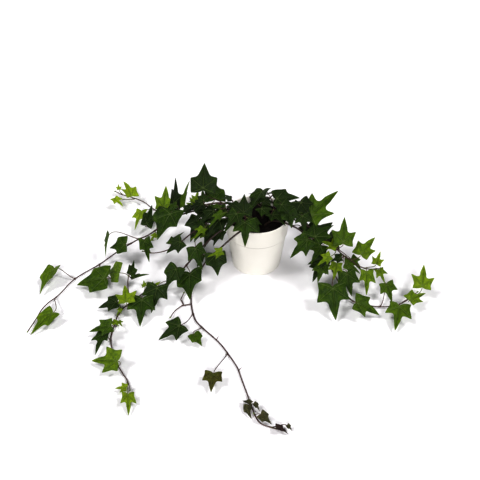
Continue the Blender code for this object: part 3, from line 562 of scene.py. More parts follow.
def resample(path, step):
    """The same line with its points about one step apart."""
    lengths = [0.0]
    for a, b in zip(path, path[1:]):
        lengths.append(lengths[-1] + (b - a).length)
    count = max(2, round(lengths[-1] / step))
    result, i = [], 0
    for k in range(count + 1):
        goal = lengths[-1] * k / count
        while i < len(path) - 2 and lengths[i + 1] < goal:
            i += 1
        span = lengths[i + 1] - lengths[i]
        t = (goal - lengths[i]) / span if span else 0.0
        result.append(path[i].lerp(path[i + 1], min(1.0, t)))
    return result


def nearest_on(path, goal):
    """The point of a polyline that is nearest to a goal."""
    points = []
    for a, b in zip(path, path[1:]):
        along = (goal - a).dot(b - a) / (b - a).length_squared
        points.append(a.lerp(b, min(1.0, max(0.0, along))))
    return min(points, key=lambda point: (point - goal).length)


def even(count, start, end):
    """Numbers in even steps from start to end."""
    return [start + (end - start) * i / (count - 1) for i in range(count)]


def polar(radius, angle, z=0.0):
    return Vector((radius * math.cos(angle), radius * math.sin(angle), z))


def turned(vector, degrees):
    angle = math.radians(degrees)
    c, s = math.cos(angle), math.sin(angle)
    return Vector((vector.x * c - vector.y * s, vector.x * s + vector.y * c))


def ring_pairs(start, count):
    """The numbers of neighbouring points round a ring that begins at start."""
    return [(start + k, start + (k + 1) % count) for k in range(count)]


def shifted(faces, by):
    """The faces with their points' numbers raised."""
    return [tuple(i + by for i in face) for face in faces]


def flipped(faces):
    return [face[::-1] for face in faces]


def join(vertices, faces, more_vertices, more_faces):
    """Adds a shape's vertices and faces to those of another."""
    faces += shifted(more_faces, len(vertices))
    vertices += more_vertices


def dome(sides, rings):
    """Faces from point 0 out over the rings of points round it."""
    faces = [(0, a, b) for a, b in ring_pairs(1, sides)]
    for start in range(1, 1 + (rings - 1) * sides, sides):
        faces += [(a, a + sides, b + sides, b) for a, b in ring_pairs(start, sides)]
    return faces


def tube(path, radii, sides):
    """Vertices and triangles of a closed tube along a path, with no twist along it."""
    tangent = (path[1] - path[0]).normalized()
    across = tangent.orthogonal().normalized()
    vertices, faces = [], []
    for i, point in enumerate(path):
        ahead = (path[min(i + 1, len(path) - 1)] - path[max(i - 1, 0)]).normalized()
        across = (tangent.rotation_difference(ahead) @ across).normalized()
        tangent = ahead
        other = tangent.cross(across)
        for k in range(sides):
            angle = 2 * math.pi * k / sides
            vertices.append(point + (across * math.cos(angle) + other * math.sin(angle)) * radii[i])
    last = (len(path) - 1) * sides
    for start in range(0, last, sides):
        for a, b in ring_pairs(start, sides):
            faces += [(a, b, b + sides), (a, b + sides, a + sides)]
    for k in range(1, sides - 1):
        faces += [(0, k + 1, k), (last, last + k, last + k + 1)]
    return vertices, faces


def stem_path(route):
    """A stem's line: straight down into its hole, then smooth along its route."""
    points = [Vector(p) * MM for p in route]
    x, y = points[0].x, points[0].y
    start = Vector((x, y, STEM_LEAVES_SOIL_Z))
    below = Vector((x, y, STEM_LEAVES_SOIL_Z - STRAIGHT_FOOT))
    free = catmull_rom([below, start, *points[1:]], CURVE_STEPS)[CURVE_STEPS:]
    return [Vector((x, y, STEM_FOOT_Z)), *resample(free, STEM_STEP)]


def stem_paths(name):
    """The main stem's line and then its twigs', each starting on a line before it."""
    paths = [stem_path(ROUTES[name])]
    for route in TWIGS.get(name, ()):
        points = [Vector(p) * MM for p in route]
        starts = [nearest_on(path, points[0]) for path in paths]
        points[0] = min(starts, key=lambda start: (start - points[0]).length)
        paths.append(resample(catmull_rom(points, CURVE_STEPS), STEM_STEP))
    return paths


def stem_radii(number, path):
    """The radii along the main stem, which has the number 0, or along a twig."""
    start = TWIG_ROOT_RADIUS if number else STEM_ROOT_RADIUS
    return even(len(path), start, STEM_TIP_RADIUS)


def stalk_start(paths, goal, lean):
    """The nearest stem, and its point where a stalk leaves, a little towards the root."""
    spots = [(path, i) for path in paths for i in range(2, len(path) - 1)]
    stem, nearest = min(spots, key=lambda spot: (spot[0][spot[1]] - goal).length)
    distance = (stem[nearest] - goal).length
    return stem, max(2, nearest - round(lean * distance / STEM_STEP))


class Leaf:
    """One leaf: where its blade sits, how it is shaped and how its stalk runs."""

    def __init__(self, stem_name, number, paths, base, tip, kind, roll=0, age=None, root=None):
        self.stem_name = stem_name
        self.number = number
        self.base = Vector(base) * MM
        self.reach = Vector(tip) * MM - self.base
        self.length = self.reach.length
        goal, lean = (Vector(root) * MM, 0.0) if root else (self.base, STALK_LEAN)
        self.stem, self.stem_point = stalk_start(paths, goal, lean)
        self.roll = math.radians(roll)
        self.kind = kind
        self.look = LOOKS[kind]
        draw = random.Random(f"{stem_name} {number}")
        self.cut = self.look.cut + draw.uniform(*CUT_SPREAD)
        self.width = self.look.width * draw.uniform(*WIDTH_SPREAD)
        self.uneven = draw.uniform(*UNEVEN_SPREAD)
        self.tone = draw.random()
        self.wave_phase = draw.uniform(0, 2 * math.pi)
        age = self.look.age if age is None else age
        self.age = age + AGE_SPREAD * (draw.random() - 0.5)
        self.bent = (0, 0, 0, 0)

    def axes(self):
        """The blade's base and its directions to the side, to the tip and up."""
        pitch, roll, lift, _ = self.bent
        base = self.base + Vector((0, 0, lift * MM))
        along = self.reach.normalized()
        flat = Vector((-along.y, along.x, 0))
        side = flat.normalized() if flat.length > 1e-6 else Vector((1, 0, 0))
        along = Matrix.Rotation(-math.radians(pitch), 3, side) @ along
        turn = Matrix.Rotation(self.roll + math.radians(roll), 3, along)
        side = turn @ side
        return base, side, along, along.cross(side)

    def surface(self, a, b):
        """The height of the blade's middle over its length, at side a and forward b."""
        fold = self.look.fold * abs(a)
        curl = self.look.curl * a * a
        droop = self.look.droop * b * abs(b)
        return fold - curl - droop

    def place(self, a, b, offset=0.0):
        base, side, along, up = self.axes()
        height = self.surface(a, b) * self.length + offset
        return base + side * (a * self.length) + along * (b * self.length) + up * height

    def half_outline(self, hand):
        """The outline's points on one side, from the tip round to the notch."""
        points = []
        for k, (angle, deep, shallow) in enumerate(OUTLINE):
            radius = shallow + (deep - shallow) * self.cut
            if k not in (0, len(OUTLINE) - 1):
                radius *= 1 + hand * self.uneven
            a = radius * math.sin(math.radians(angle)) * self.width
            points.append(Vector((a, radius * math.cos(math.radians(angle)))))
        return points

    def guard_blade(self, thickness):
        """Vertices and triangles of the solid's closed blade, alike on both faces."""
        notch = len(OUTLINE) - 1
        flat = [(p.x, p.y) for p in self.half_outline(1)]
        flat += [(-p.x, p.y) for p in self.half_outline(-1)[1:notch]]
        flat += [(0.0, forward) for forward in MIDRIB]
        count = len(flat)
        low, high = count - 2, count - 1
        left = [*range(notch + 1), low, high]
        right = [0, *range(notch + 1, low), notch, low, high]
        top = [tuple(left[i] for i in triangle) for triangle in HALF_TRIANGLES]
        top += [tuple(right[i] for i in triangle[::-1]) for triangle in HALF_TRIANGLES]
        rim = [*range(notch + 1), *reversed(range(notch + 1, low))]
        vertices = []
        for offset in (thickness / 2, -thickness / 2):
            vertices += [self.place(a, b, offset) for a, b in flat]
        faces = top + shifted(flipped(top), count)
        for i, j in zip(rim, rim[1:] + rim[:1]):
            faces += [(i, i + count, j + count), (i, j + count, j)]
        return vertices, faces

    def stalk_bends(self):
        """The ends and bends of the stalk's curve, how it turns and its last point.

        Where the blade points back at the stem, the stalk passes under the blade.
        """
        _, _, along, up = self.axes()
        notch = OUTLINE[-1][2]
        base = self.place(0.0, -notch)
        point = min(max(2, self.stem_point - self.bent[3]), len(self.stem) - 2)
        root = self.stem[point]
        stem_direction = (self.stem[point + 1] - self.stem[point - 1]).normalized()
        reach = (base - root).length
        leave = stem_direction.lerp((base - root).normalized(), 1 - STALK_ALONG_STEM).normalized()
        arch = reach * STALK_ARCH
        turning = (base - root).dot(along) <= 0
        rise = -up * (arch * 2) if turning else Vector((0, 0, arch))
        first = root + leave * reach * STALK_FIRST_BEND + rise
        second = base - along * reach * STALK_LAST_BEND - up * arch
        end = self.place(0.0, STALK_INTO_BLADE / self.length - notch)
        return (root, first, second, base), turning, end

    def stalk_line(self, steps=None):
        """The stalk's points, in the solid's few steps where no steps are given."""
        bends, turning, end = self.stalk_bends()
        steps = steps or (TURNING_STALK_STEPS if turning else STALK_STEPS)
        return [*bezier(*bends, steps), end]

    def guard_stalk(self, extra, whole=True):
        """Vertices and triangles of the solid's stalk, thin where it enters the blade.

        Not whole, it lacks the part that meets the blade.
        """
        line = self.stalk_line()
        radii = [STALK_RADIUS] * (len(line) - 2) + [STALK_END_RADIUS] * 2
        if not whole:
            line, radii = line[:-2], radii[:-2]
        return tube(line, [radius + extra for radius in radii], STALK_SIDES)


Solid = namedtuple("Solid", "tree centre radius owner kind")


def solid_of(vertices, faces, owner, kind):
    centre = sum(vertices, Vector()) / len(vertices)
    radius = max((v - centre).length for v in vertices)
    return Solid(BVHTree.FromPolygons(vertices, faces, epsilon=0.0), centre, radius, owner, kind)


def touches(solid, others):
    """Whether a solid crosses another. A stalk may cross its own plant's stems and stalks."""
    for other in others:
        if (other.centre - solid.centre).length > other.radius + solid.radius:
            continue
        same_plant = other.owner == solid.owner
        if same_plant and solid.kind == "stalk" and other.kind in ("stalk", "stem"):
            continue
        if solid.tree.overlap(other.tree):
            return True
    return False


def cost(attempt):
    return sum(factor * abs(change) for factor, change in zip(TRY_COSTS, attempt))


def bend_clear(leaf, placed):
    """Turns or lifts a leaf in small steps until its guards cross nothing placed."""
    reach = leaf.length * BLADE_REACH + STALK_REACH
    near = [other for other in placed if (other.centre - leaf.base).length < other.radius + reach]
    tries = itertools.product(PITCH_TRIES, ROLL_TRIES, LIFT_TRIES, ROOT_TRIES)
    for attempt in sorted(tries, key=cost):
        leaf.bent = attempt
        blade, blade_faces = leaf.guard_blade(BLADE_THICKNESS + 2 * GUARD)
        stalk, stalk_faces = leaf.guard_stalk(GUARD)
        if min(v.z for v in blade) < SURFACE_CLEARANCE:
            continue
        if min(v.z for v in stalk) < SURFACE_CLEARANCE - GUARD:
            continue
        blade_solid = solid_of(blade, blade_faces, leaf.stem_name, "blade")
        stalk_solid = solid_of(stalk, stalk_faces, leaf.stem_name, "stalk")
        if touches(blade_solid, near) or touches(stalk_solid, near):
            continue
        free_stalk = solid_of(*leaf.guard_stalk(GUARD, whole=False), leaf.stem_name, "stalk")
        if not free_stalk.tree.overlap(blade_solid.tree):
            return [blade_solid, stalk_solid]
    return []


def node_solid(name):
    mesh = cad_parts[name].data
    faces = [tuple(p.vertices) for p in mesh.polygons]
    return solid_of([v.co.copy() for v in mesh.vertices], faces, name, name)


def plan_leaves(stems):
    """All leaves, each bent clear of the stems, the pot, the soil and one another."""
    placed = [node_solid("pot"), node_solid("soil")]
    for name, paths in stems.items():
        for k, path in enumerate(paths):
            radii = [radius + GUARD for radius in stem_radii(k, path)]
            placed.append(solid_of(*tube(path, radii, STEM_SIDES), name, "stem"))
    leaves = {name: [] for name in stems}
    for name, rows in LEAVES.items():
        for number, row in enumerate(rows):
            leaf = Leaf(name, number, stems[name], *row)
            solids = bend_clear(leaf, placed)
            if solids:
                placed += solids
                leaves[name].append(leaf)
    return leaves


def mesh_object(name, vertices, faces, *materials):
    mesh = bpy.data.meshes.new(name)
    mesh.from_pydata([tuple(v) for v in vertices], [], faces)
    mesh.polygons.foreach_set("use_smooth", [True] * len(faces))
    for material in materials:
        mesh.materials.append(material)
    obj = bpy.data.objects.new(name, mesh)
    bpy.context.scene.collection.objects.link(obj)
    return obj


class Growth:
    """Gathers the vertices, faces and surface values of one plant's piece."""

    TOP, UNDER, DRIED, STEM, BUD = range(5)

    def __init__(self):
        self.vertices, self.faces, self.kinds = [], [], []
        self.places, self.ages, self.tones = [], [], []

    def add(self, vertices, faces, kinds, places, ages, tone):
        join(self.vertices, self.faces, vertices, faces)
        self.kinds += kinds
        self.places += places
        self.ages += ages
        self.tones += [tone] * len(vertices)

    def build(self, name, materials):
        obj = mesh_object(name, self.vertices, self.faces, *materials)
        mesh = obj.data
        mesh.polygons.foreach_set("material_index", self.kinds)
        place = mesh.attributes.new("leaf_place", "FLOAT_VECTOR", "POINT")
        place.data.foreach_set("vector", [x for p in self.places for x in p])
        for title, values in (("age", self.ages), ("tone", self.tones)):
            attribute = mesh.attributes.new(title, "FLOAT", "POINT")
            attribute.data.foreach_set("value", values)
        mesh.set_sharp_from_angle(angle=math.radians(LEAF_SHARP_DEGREES))
        mesh.update()
        return obj


def heading(points, k, chord, hand):
    """The edge's direction at an outline point, as long as the chord that meets it."""
    if k in SHARP_FULLNESS:
        return turned(chord, hand * SHARP_FULLNESS[k])
    return (points[k + 1] - points[k - 1]).normalized() * chord.length


def smooth_edge(points):
    """A smooth line from the tip to the notch, sharp at the lobes' tips."""
    line = []
    for k, steps in enumerate(EDGE_STEPS):
        start, end = points[k], points[k + 1]
        leave = heading(points, k, end - start, 1)
        arrive = heading(points, k + 1, end - start, -1)
        line += bezier(start, start + leave / 3, end - arrive / 3, end, steps)[:-1]
    return [*line, points[-1]]


def field_rise(a, b):
    """How far a place lies up the field between its two nearest veins, 0 to 1."""
    angle = math.degrees(math.atan2(abs(a), b))
    for low, high in zip(FIELD_ENDS, FIELD_ENDS[1:]):
        if angle <= high:
            share = (angle - low) / (high - low)
            return math.sin(math.pi * share) ** FIELD_FULLNESS
    return 0.0


def fine_height(leaf, a, b, ring):
    """The fine blade's height: the solid's, with raised fields and a waved edge."""
    soft = math.sqrt(a * a + MIDRIB_SOFTNESS**2) - MIDRIB_SOFTNESS
    fold = leaf.look.fold * (soft - abs(a))
    radius = math.hypot(a, b)
    rise = FIELD_RISE * field_rise(a / leaf.width, b) * radius * (1 - FIELD_FADE * ring)
    angle = math.atan2(a, b)
    wave = math.sin(WAVES * angle + leaf.wave_phase)
    wave += SMALL_WAVE_SHARE * math.sin(SMALL_WAVES * angle - leaf.wave_phase)
    return leaf.surface(a, b) + fold + rise + EDGE_WAVE * wave * radius * ring**2


def add_blade(growth, leaf):
    """The fine blade: rings from the stalk out to the smooth edge, on both faces."""
    right = smooth_edge(leaf.half_outline(1))
    left = [Vector((-p.x, p.y)) for p in smooth_edge(leaf.half_outline(-1))]
    edge = right + left[-2:0:-1]
    count = len(edge)
    base, side, along, up = leaf.axes()
    spots = [(0.0, 0.0, 0.0)]
    for ring in BLADE_RINGS:
        spots += [(p.x * ring, p.y * ring, ring) for p in edge]
    vertices, places = [], []
    for sign in (1, -1):
        for a, b, ring in spots:
            thick = FINE_THICKNESS + (EDGE_THICKNESS - FINE_THICKNESS) * ring**3
            height = fine_height(leaf, a, b, ring) * leaf.length + sign * thick / 2
            point = base + (side * a + along * b) * leaf.length + up * height
            point.z = max(point.z, FLOOR_CLEARANCE)
            vertices.append(point)
            places.append((a / leaf.width, b, ring))
    total = len(spots)
    top = dome(count, len(BLADE_RINGS))
    faces = top + shifted(flipped(top), total)
    faces += [(b, a, a + total, b + total) for a, b in ring_pairs(total - count, count)]
    kinds = [Growth.TOP] * len(top) + [Growth.UNDER] * (len(faces) - len(top))
    if leaf.kind == "dried":
        kinds = [Growth.DRIED] * len(faces)
    growth.add(vertices, faces, kinds, places, [leaf.age] * len(vertices), leaf.tone)


def add_tube(growth, path, radii, sides, kind, ages, tone):
    vertices, faces = tube(path, radii, sides)
    walked = 0.0
    places = []
    for before, point in zip(path[:1] + path, path):
        walked += (point - before).length
        places += [(k / sides, walked, 0.0) for k in range(sides)]
    all_ages = [age for age in ages for _ in range(sides)]
    growth.add(vertices, faces, [kind] * len(faces), places, all_ages, tone)


def add_stem(growth, number, path, joints):
    """A stem that swells at its joints and roughens a little along its way."""
    fine = [path[0], *catmull_rom(path[1:], FINE_STEM_SPLIT)]
    radii = stem_radii(number, fine)
    for i, point in enumerate(fine):
        nearest = min(((joint - point).length for joint in joints), default=1.0)
        swell = JOINT_SWELL * math.exp(-((nearest / JOINT_LENGTH) ** 2))
        rough = STEM_ROUGHNESS * noise.noise(point * STEM_GRAIN)
        radii[i] *= FINE_STEM_SHARE * (1 + swell + rough)
    radii[-1] *= FINE_STEM_POINT
    root_age = TWIG_AGE if number else 0.0
    ages = even(len(fine) + 1, root_age, OUTER_STEM_AGE)[:-1]
    add_tube(growth, fine, radii, FINE_STEM_SIDES, Growth.STEM, ages, MIDDLE_TONE)


def add_stalk(growth, leaf):
    line = leaf.stalk_line(FINE_STALK_STEPS)
    radii = []
    for t in even(len(line), 0.0, 1.0):
        foot = (STALK_FOOT_RADIUS - STALK_MIDDLE_RADIUS) * (1 - t) ** 6
        radii.append(STALK_MIDDLE_RADIUS + foot)
    radii[-2:] = [STALK_MIDDLE_RADIUS * STALK_NECK, STALK_END_RADIUS]
    youth = max(0.0, leaf.age)
    foot_age, end_age = (own + share * youth for own, share in (STALK_FOOT_AGE, STALK_END_AGE))
    ages = even(len(line), foot_age, end_age)
    add_tube(growth, line, radii, FINE_STALK_SIDES, Growth.STEM, ages, leaf.tone)


def add_bud(growth, root, direction, leaning, draw):
    """A small pointed bud that stands out from the stem and leans at random."""
    away = Vector((draw.uniform(-1, 1), draw.uniform(-1, 1), draw.uniform(leaning.lowest, 1)))
    direction = (direction + away * leaning.lean).normalized()
    size = draw.uniform(*leaning.sizes)
    path = [root + direction * (BUD_LENGTH * size * share) for share, _ in BUD_PROFILE]
    radii = [BUD_RADIUS * size * width for _, width in BUD_PROFILE]
    add_tube(growth, path, radii, BUD_SIDES, Growth.BUD, even(len(path), *BUD_AGES), draw.random())


def add_spur(growth, stem, end):
    """A short bare spur that starts at the stem's nearest point."""
    root = min(catmull_rom(stem[1:], FINE_STEM_SPLIT), key=lambda point: (point - end).length)
    low, high = SPUR_AGES
    path = [root.lerp(end, share) for share, _ in SPUR_PROFILE]
    radii = [SPUR_RADIUS * width for _, width in SPUR_PROFILE]
    ages = [low + (high - low) * share for share, _ in SPUR_PROFILE]
    add_tube(growth, path, radii, FINE_STALK_SIDES, Growth.STEM, ages, MIDDLE_TONE)


def grow(name, paths, leaves, materials):
    """One leafy stem with its twigs, stalks, blades and buds, as one piece."""
    growth = Growth()
    roots = [leaf.stalk_bends()[0][0] for leaf in leaves]
    for k, path in enumerate(paths):
        add_stem(growth, k, path, roots)
        draw = random.Random(f"buds {name} {k}")
        for _ in range(END_BUDS):
            add_bud(growth, path[-1], (path[-1] - path[-2]).normalized(), END_BUD, draw)
    for end in SPUR_ENDS.get(name, ()):
        add_spur(growth, paths[0], Vector(end) * MM)
    for leaf in leaves:
        add_stalk(growth, leaf)
        add_blade(growth, leaf)
        root, first = leaf.stalk_bends()[0][:2]
        draw = random.Random(f"bud {name} {leaf.number}")
        add_bud(growth, root, (first - root).normalized(), SIDE_BUD, draw)
    obj = growth.build(name + "_grown", materials)
    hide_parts(name)
    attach(obj, "root")


def turn_profile(profile, sides):
    """A solid turned from (radius, z) points that start and end on the axis."""
    vertices = [Vector((0.0, 0.0, profile[0][1]))]
    for radius, z in profile[1:-1]:
        vertices += [polar(radius, 2 * math.pi * k / sides, z) for k in range(sides)]
    last = len(vertices)
    vertices.append(Vector((0.0, 0.0, profile[-1][1])))
    faces = [(0, b, a) for a, b in ring_pairs(1, sides)]
    for start in range(1, last - sides, sides):
        faces += [(a, b, b + sides, a + sides) for a, b in ring_pairs(start, sides)]
    faces += [(a, b, last) for a, b in ring_pairs(last - sides, sides)]
    return vertices, faces


def rounded(corners):
    """A profile with its corners rounded: each is (radius, z, rounding length)."""
    result = []
    for i, (radius, z, rounding) in enumerate(corners):
        if not rounding:
            result.append((radius, z))
            continue
        here, before, after = (Vector(corners[k][:2]) for k in (i, i - 1, i + 1))
        start = here + (before - here).normalized() * rounding
        end = here + (after - here).normalized() * rounding
        for k in range(CORNER_STEPS + 1):
            t = k / CORNER_STEPS
            p = start * (1 - t) ** 2 + here * 2 * t * (1 - t) + end * t**2
            result.append((p.x, p.y))
    return result


def body_radius(z):
    """The outer radius of the pot's body below its rim band."""
    top = POT_HEIGHT - BAND_HEIGHT
    under_band = RIM_RADIUS - BAND_TAPER - BAND_STEP
    return BASE_RADIUS + (under_band - BASE_RADIUS) * z / top


def inner_radius(z):
    """The radius inside the pot, one straight taper from its floor to its lip."""
    low = body_radius(POT_FLOOR) - WALL
    high = RIM_RADIUS - LIP - WALL
    return low + (high - low) * (z - POT_FLOOR) / (POT_HEIGHT - POT_FLOOR)


def drain_cutter():
    """Round bars through the pot's floor, as one object."""
    vertices, faces = [], []
    for k in range(DRAIN_HOLES):
        angle = 2 * math.pi * (k + 0.5) / DRAIN_HOLES
        ends = (-CUTTER_MARGIN, POT_FLOOR + CUTTER_MARGIN)
        path = [polar(DRAIN_RING_RADIUS, angle, z) for z in ends]
        join(vertices, faces, *tube(path, [DRAIN_RADIUS] * 2, HOLE_SIDES))
    return mesh_object("drain_cutter", vertices, faces)


def make_pot(material):
    band_low = POT_HEIGHT - BAND_HEIGHT
    corners = (
        (0.0, 0.0, 0),
        (BASE_RADIUS, 0.0, BASE_ROUNDING),
        (body_radius(band_low) - BAND_UNDERCUT, band_low - BAND_UNDERCUT, BAND_ROUNDING),
        (RIM_RADIUS - BAND_TAPER, band_low, BAND_ROUNDING),
        (RIM_RADIUS, POT_HEIGHT, LIP_ROUNDING),
        (inner_radius(POT_HEIGHT), POT_HEIGHT, LIP_ROUNDING),
        (inner_radius(POT_FLOOR), POT_FLOOR, FLOOR_ROUNDING),
        (0.0, POT_FLOOR, 0),
    )
    pot = mesh_object("pot_shell", *turn_profile(rounded(corners), POT_SIDES), material)
    cutter = drain_cutter()
    holes = pot.modifiers.new("holes", "BOOLEAN")
    holes.operation = "DIFFERENCE"
    holes.solver = "EXACT"
    holes.object = cutter
    depsgraph = bpy.context.evaluated_depsgraph_get()
    cut_mesh = bpy.data.meshes.new_from_object(pot.evaluated_get(depsgraph))
    pot.modifiers.clear()
    pot.data = cut_mesh
    bpy.data.objects.remove(cutter)
    pot.data.set_sharp_from_angle(angle=math.radians(POT_SHARP_DEGREES))
    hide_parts("pot")
    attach(pot, "root")


def soil_lumps(x, y):
    """The soil's height over its level: broad lumps with fine crumbs on them."""
    point = Vector((x, y, 0.0))
    lumps = (share * noise.noise(point * scale + Vector(start)) for scale, start, share in SOIL_LUMPS)
    return SOIL_ROUGHNESS * sum(lumps)


def make_soil(material):
    """Crumbly soil that fills the pot, with loose crumbs on it."""
    under, beside, at_top = SOIL_GAPS
    bottom = POT_FLOOR + under
    edge = SOIL_TOP - SOIL_EDGE
    reach = inner_radius(SOIL_TOP) - at_top
    profile = [(0.0, bottom), (inner_radius(bottom) - beside, bottom), (inner_radius(edge) - beside, edge)]
    profile += [(reach * ring / SOIL_RINGS, SOIL_TOP) for ring in range(SOIL_RINGS, -1, -1)]
    vertices, faces = turn_profile(profile, SOIL_SIDES)
    for v in vertices:
        if v.z > edge + SOIL_EDGE / 2:
            share = math.hypot(v.x, v.y) / reach
            v.z += soil_lumps(v.x, v.y) - SOIL_EDGE * SOIL_SINK * share**8
    scatter_crumbs(vertices, faces, reach - CRUMB_MARGIN)
    soil = mesh_object("soil_crumbs", vertices, faces, material)
    soil.data.set_sharp_from_angle(angle=math.radians(SOIL_SHARP_DEGREES))
    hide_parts("soil")
    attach(soil, "root")


def scatter_crumbs(vertices, faces, reach):
    """Adds loose crumbs, evenly spread, to the soil's vertices and faces."""
    draw = random.Random("crumbs")
    for _ in range(CRUMBS):
        angle = draw.uniform(0, 2 * math.pi)
        spot = polar(reach * math.sqrt(draw.random()), angle)
        size = draw.uniform(*CRUMB_SIZES)
        spot.z = SOIL_TOP + soil_lumps(spot.x, spot.y) + size * CRUMB_RISE
        join(vertices, faces, *crumb(spot, size, draw))


def crumb(centre, size, draw):
    """A small rough lump."""
    stretch = Vector([draw.uniform(*limits) for limits in CRUMB_STRETCHES])
    turn = Matrix.Rotation(draw.uniform(0, 2 * math.pi), 3, "Z")
    vertices = []
    for row in range(CRUMB_ROWS + 1):
        down = math.pi * row / CRUMB_ROWS
        for k in range(CRUMB_SIDES if 0 < row < CRUMB_ROWS else 1):
            direction = polar(math.sin(down), 2 * math.pi * k / CRUMB_SIDES, math.cos(down))
            vertices.append(centre + turn @ (direction * stretch) * (size * draw.uniform(*CRUMB_ROUGHNESS)))
    last = len(vertices) - 1
    end = [(b, a, last) for a, b in ring_pairs(last - CRUMB_SIDES, CRUMB_SIDES)]
    return vertices, dome(CRUMB_SIDES, CRUMB_ROWS - 1) + end


class Value:
    """A node's output, so that a material's sums read as plain arithmetic."""

    def __init__(self, shading, socket):
        self.shading = shading
        self.socket = socket

    def __add__(self, other):
        return self.shading.math("ADD", self, other)

    def __sub__(self, other):
        return self.shading.math("SUBTRACT", self, other)

    def __rsub__(self, other):
        return self.shading.math("SUBTRACT", other, self)

    def __mul__(self, other):
        return self.shading.math("MULTIPLY", self, other)

    def __truediv__(self, other):
        return self.shading.math("DIVIDE", self, other)

    def __abs__(self):
        return self.shading.math("ABSOLUTE", self)


class Shading:
    """Adds and links the nodes of a material or of the world."""

    def __init__(self, owner):
        self.owner = owner
        owner.use_nodes = True
        self.tree = owner.node_tree

    def feed(self, socket, value):
        """Links a value into a socket, or sets the socket to a number or colour."""
        if isinstance(value, Value):
            self.tree.links.new(value.socket, socket)
        elif isinstance(value, tuple):
            socket.default_value = (*value, 1.0)
        else:
            socket.default_value = value

    def node(self, kind, output, inputs, **settings):
        """Adds a node, feeds its inputs by name or number and gives one output."""
        node = self.tree.nodes.new("ShaderNode" + kind)
        for name, setting in settings.items():
            setattr(node, name, setting)
        for name, value in inputs.items():
            self.feed(node.inputs[name], value)
        return Value(self, node.outputs[output])

    def math(self, operation, *values):
        return self.node("Math", 0, dict(enumerate(values)), operation=operation)

    def split(self, vector):
        """The three parts of a vector."""
        node = self.node("SeparateXYZ", 0, {0: vector}).socket.node
        return [Value(self, output) for output in node.outputs]

    def ramp(self, value, stops):
        """A colour ramp of (position, colour) stops."""
        colour = self.node("ValToRGB", 0, {0: value})
        elements = colour.socket.node.color_ramp.elements
        while len(elements) < len(stops):
            elements.new(1.0)
        for element, (position, stop) in zip(elements, stops):
            element.position = position
            element.color = (*stop, 1.0)
        return colour

    def mix(self, factor, a, b):
        return self.node("Mix", 2, {"Factor": factor, 6: a, 7: b}, data_type="RGBA")

    def fade(self, value, low, high, to_low=0.0, to_high=1.0):
        """Maps low..high smoothly onto to_low..to_high."""
        inputs = dict(enumerate((value, low, high, to_low, to_high)))
        return self.node("MapRange", 0, inputs, interpolation_type="SMOOTHSTEP")

    def spread(self, noise_value, to_low, to_high):
        """Maps most of a noise smoothly onto to_low..to_high."""
        return self.fade(noise_value, *NOISE_RANGE, to_low, to_high)

    def attribute(self, name, output="Fac"):
        return self.node("Attribute", output, {}, attribute_type="GEOMETRY", attribute_name=name)

    def position(self, kind="Object"):
        return self.node("TexCoord", kind, {})

    def noise(self, scale, detail, vector=None, roughness=0.5):
        vector = vector or self.position()
        inputs = {"Vector": vector, "Scale": scale, "Detail": detail, "Roughness": roughness}
        return self.node("TexNoise", "Fac", inputs)

    def bump(self, height, distance, strength):
        return self.node("Bump", "Normal", {"Height": height, "Distance": distance, "Strength": strength})

    def finish(self, **sockets):
        """Feeds the material's shader, and gives the material."""
        shader = self.tree.nodes["Principled BSDF"]
        for name, value in sockets.items():
            self.feed(shader.inputs[name.replace("_", " ")], value)
        return self.owner


def new_material(name):
    return Shading(bpy.data.materials.new(name))


def leaf_veins(s):
    """A leaf's places, their distance from the stalk, its main veins and side veins."""
    place = s.attribute("leaf_place", "Vector")
    u, v, _ = s.split(place)
    angle = abs(s.math("ARCTAN2", u, v))
    radius = s.math("SQRT", u * u + v * v)
    turn, *others = [abs(angle - math.radians(degrees)) for degrees in LOBE_ANGLES]
    for other in others:
        turn = s.math("MINIMUM", turn, other)
    across = radius * s.math("SINE", turn)
    along = radius * s.math("COSINE", turn)
    main = s.fade(across / (VEIN_WIDTH - radius * VEIN_TAPER), 0.35, 1.0, 1.0, 0.0)
    wobble = s.noise(9.0, 2.0, place) * VEIN_WOBBLE
    from_line = abs(s.math("FRACT", (along + wobble - across) * SIDE_VEINS) - 0.5)
    side = s.fade(from_line, 0.0, 0.10, 1.0, 0.0)
    return place, radius, main, side


def fine_net(s, place):
    """Where the net of the finest veins runs on a leaf."""
    inputs = {"Vector": place, "Scale": NET_CELLS}
    distance = s.node("TexVoronoi", "Distance", inputs, feature="DISTANCE_TO_EDGE")
    return s.fade(distance, 0.0, 0.12, 1.0, 0.0)


def leaf_colour(s, place):
    """The leaf's green by its age, with a tone of its own and soft blotches."""
    age = s.attribute("age")
    blotch = s.noise(5.0, 4.0, place, 0.6)
    shift = (s.attribute("tone") - 0.5) * 0.12 + (blotch - 0.5) * 0.75
    green = s.ramp(age + shift, LEAF_STOPS)
    return s.mix(s.fade(age, *OLIVE_AGES, 1.0, 0.0), green, s.ramp(blotch, OLIVE_STOPS))


def leaf_top():
    s = new_material("ivy_leaf_top")
    place, radius, main, side = leaf_veins(s)
    net = fine_net(s, place)
    colour = leaf_colour(s, place)
    middle = s.fade(radius, 0.10, 0.85, 1.0, 0.0)
    vein_colour = s.mix(0.6, colour, (0.19, 0.25, 0.090))
    colour = s.mix(main * s.fade(radius, 0.0, 0.9, 0.80, 0.30), colour, vein_colour)
    colour = s.mix(side * (middle * 0.34), colour, vein_colour)
    colour = s.mix(net * 0.12, colour, vein_colour)
    normal = s.bump(main * -1.0 + side * -0.5 + net * -0.22, 0.0006, 0.9)
    rough = s.spread(s.noise(14.0, 3.0, place), 0.32, 0.50)
    return s.finish(Base_Color=colour, Roughness=rough, Normal=normal, Specular_IOR_Level=0.16)


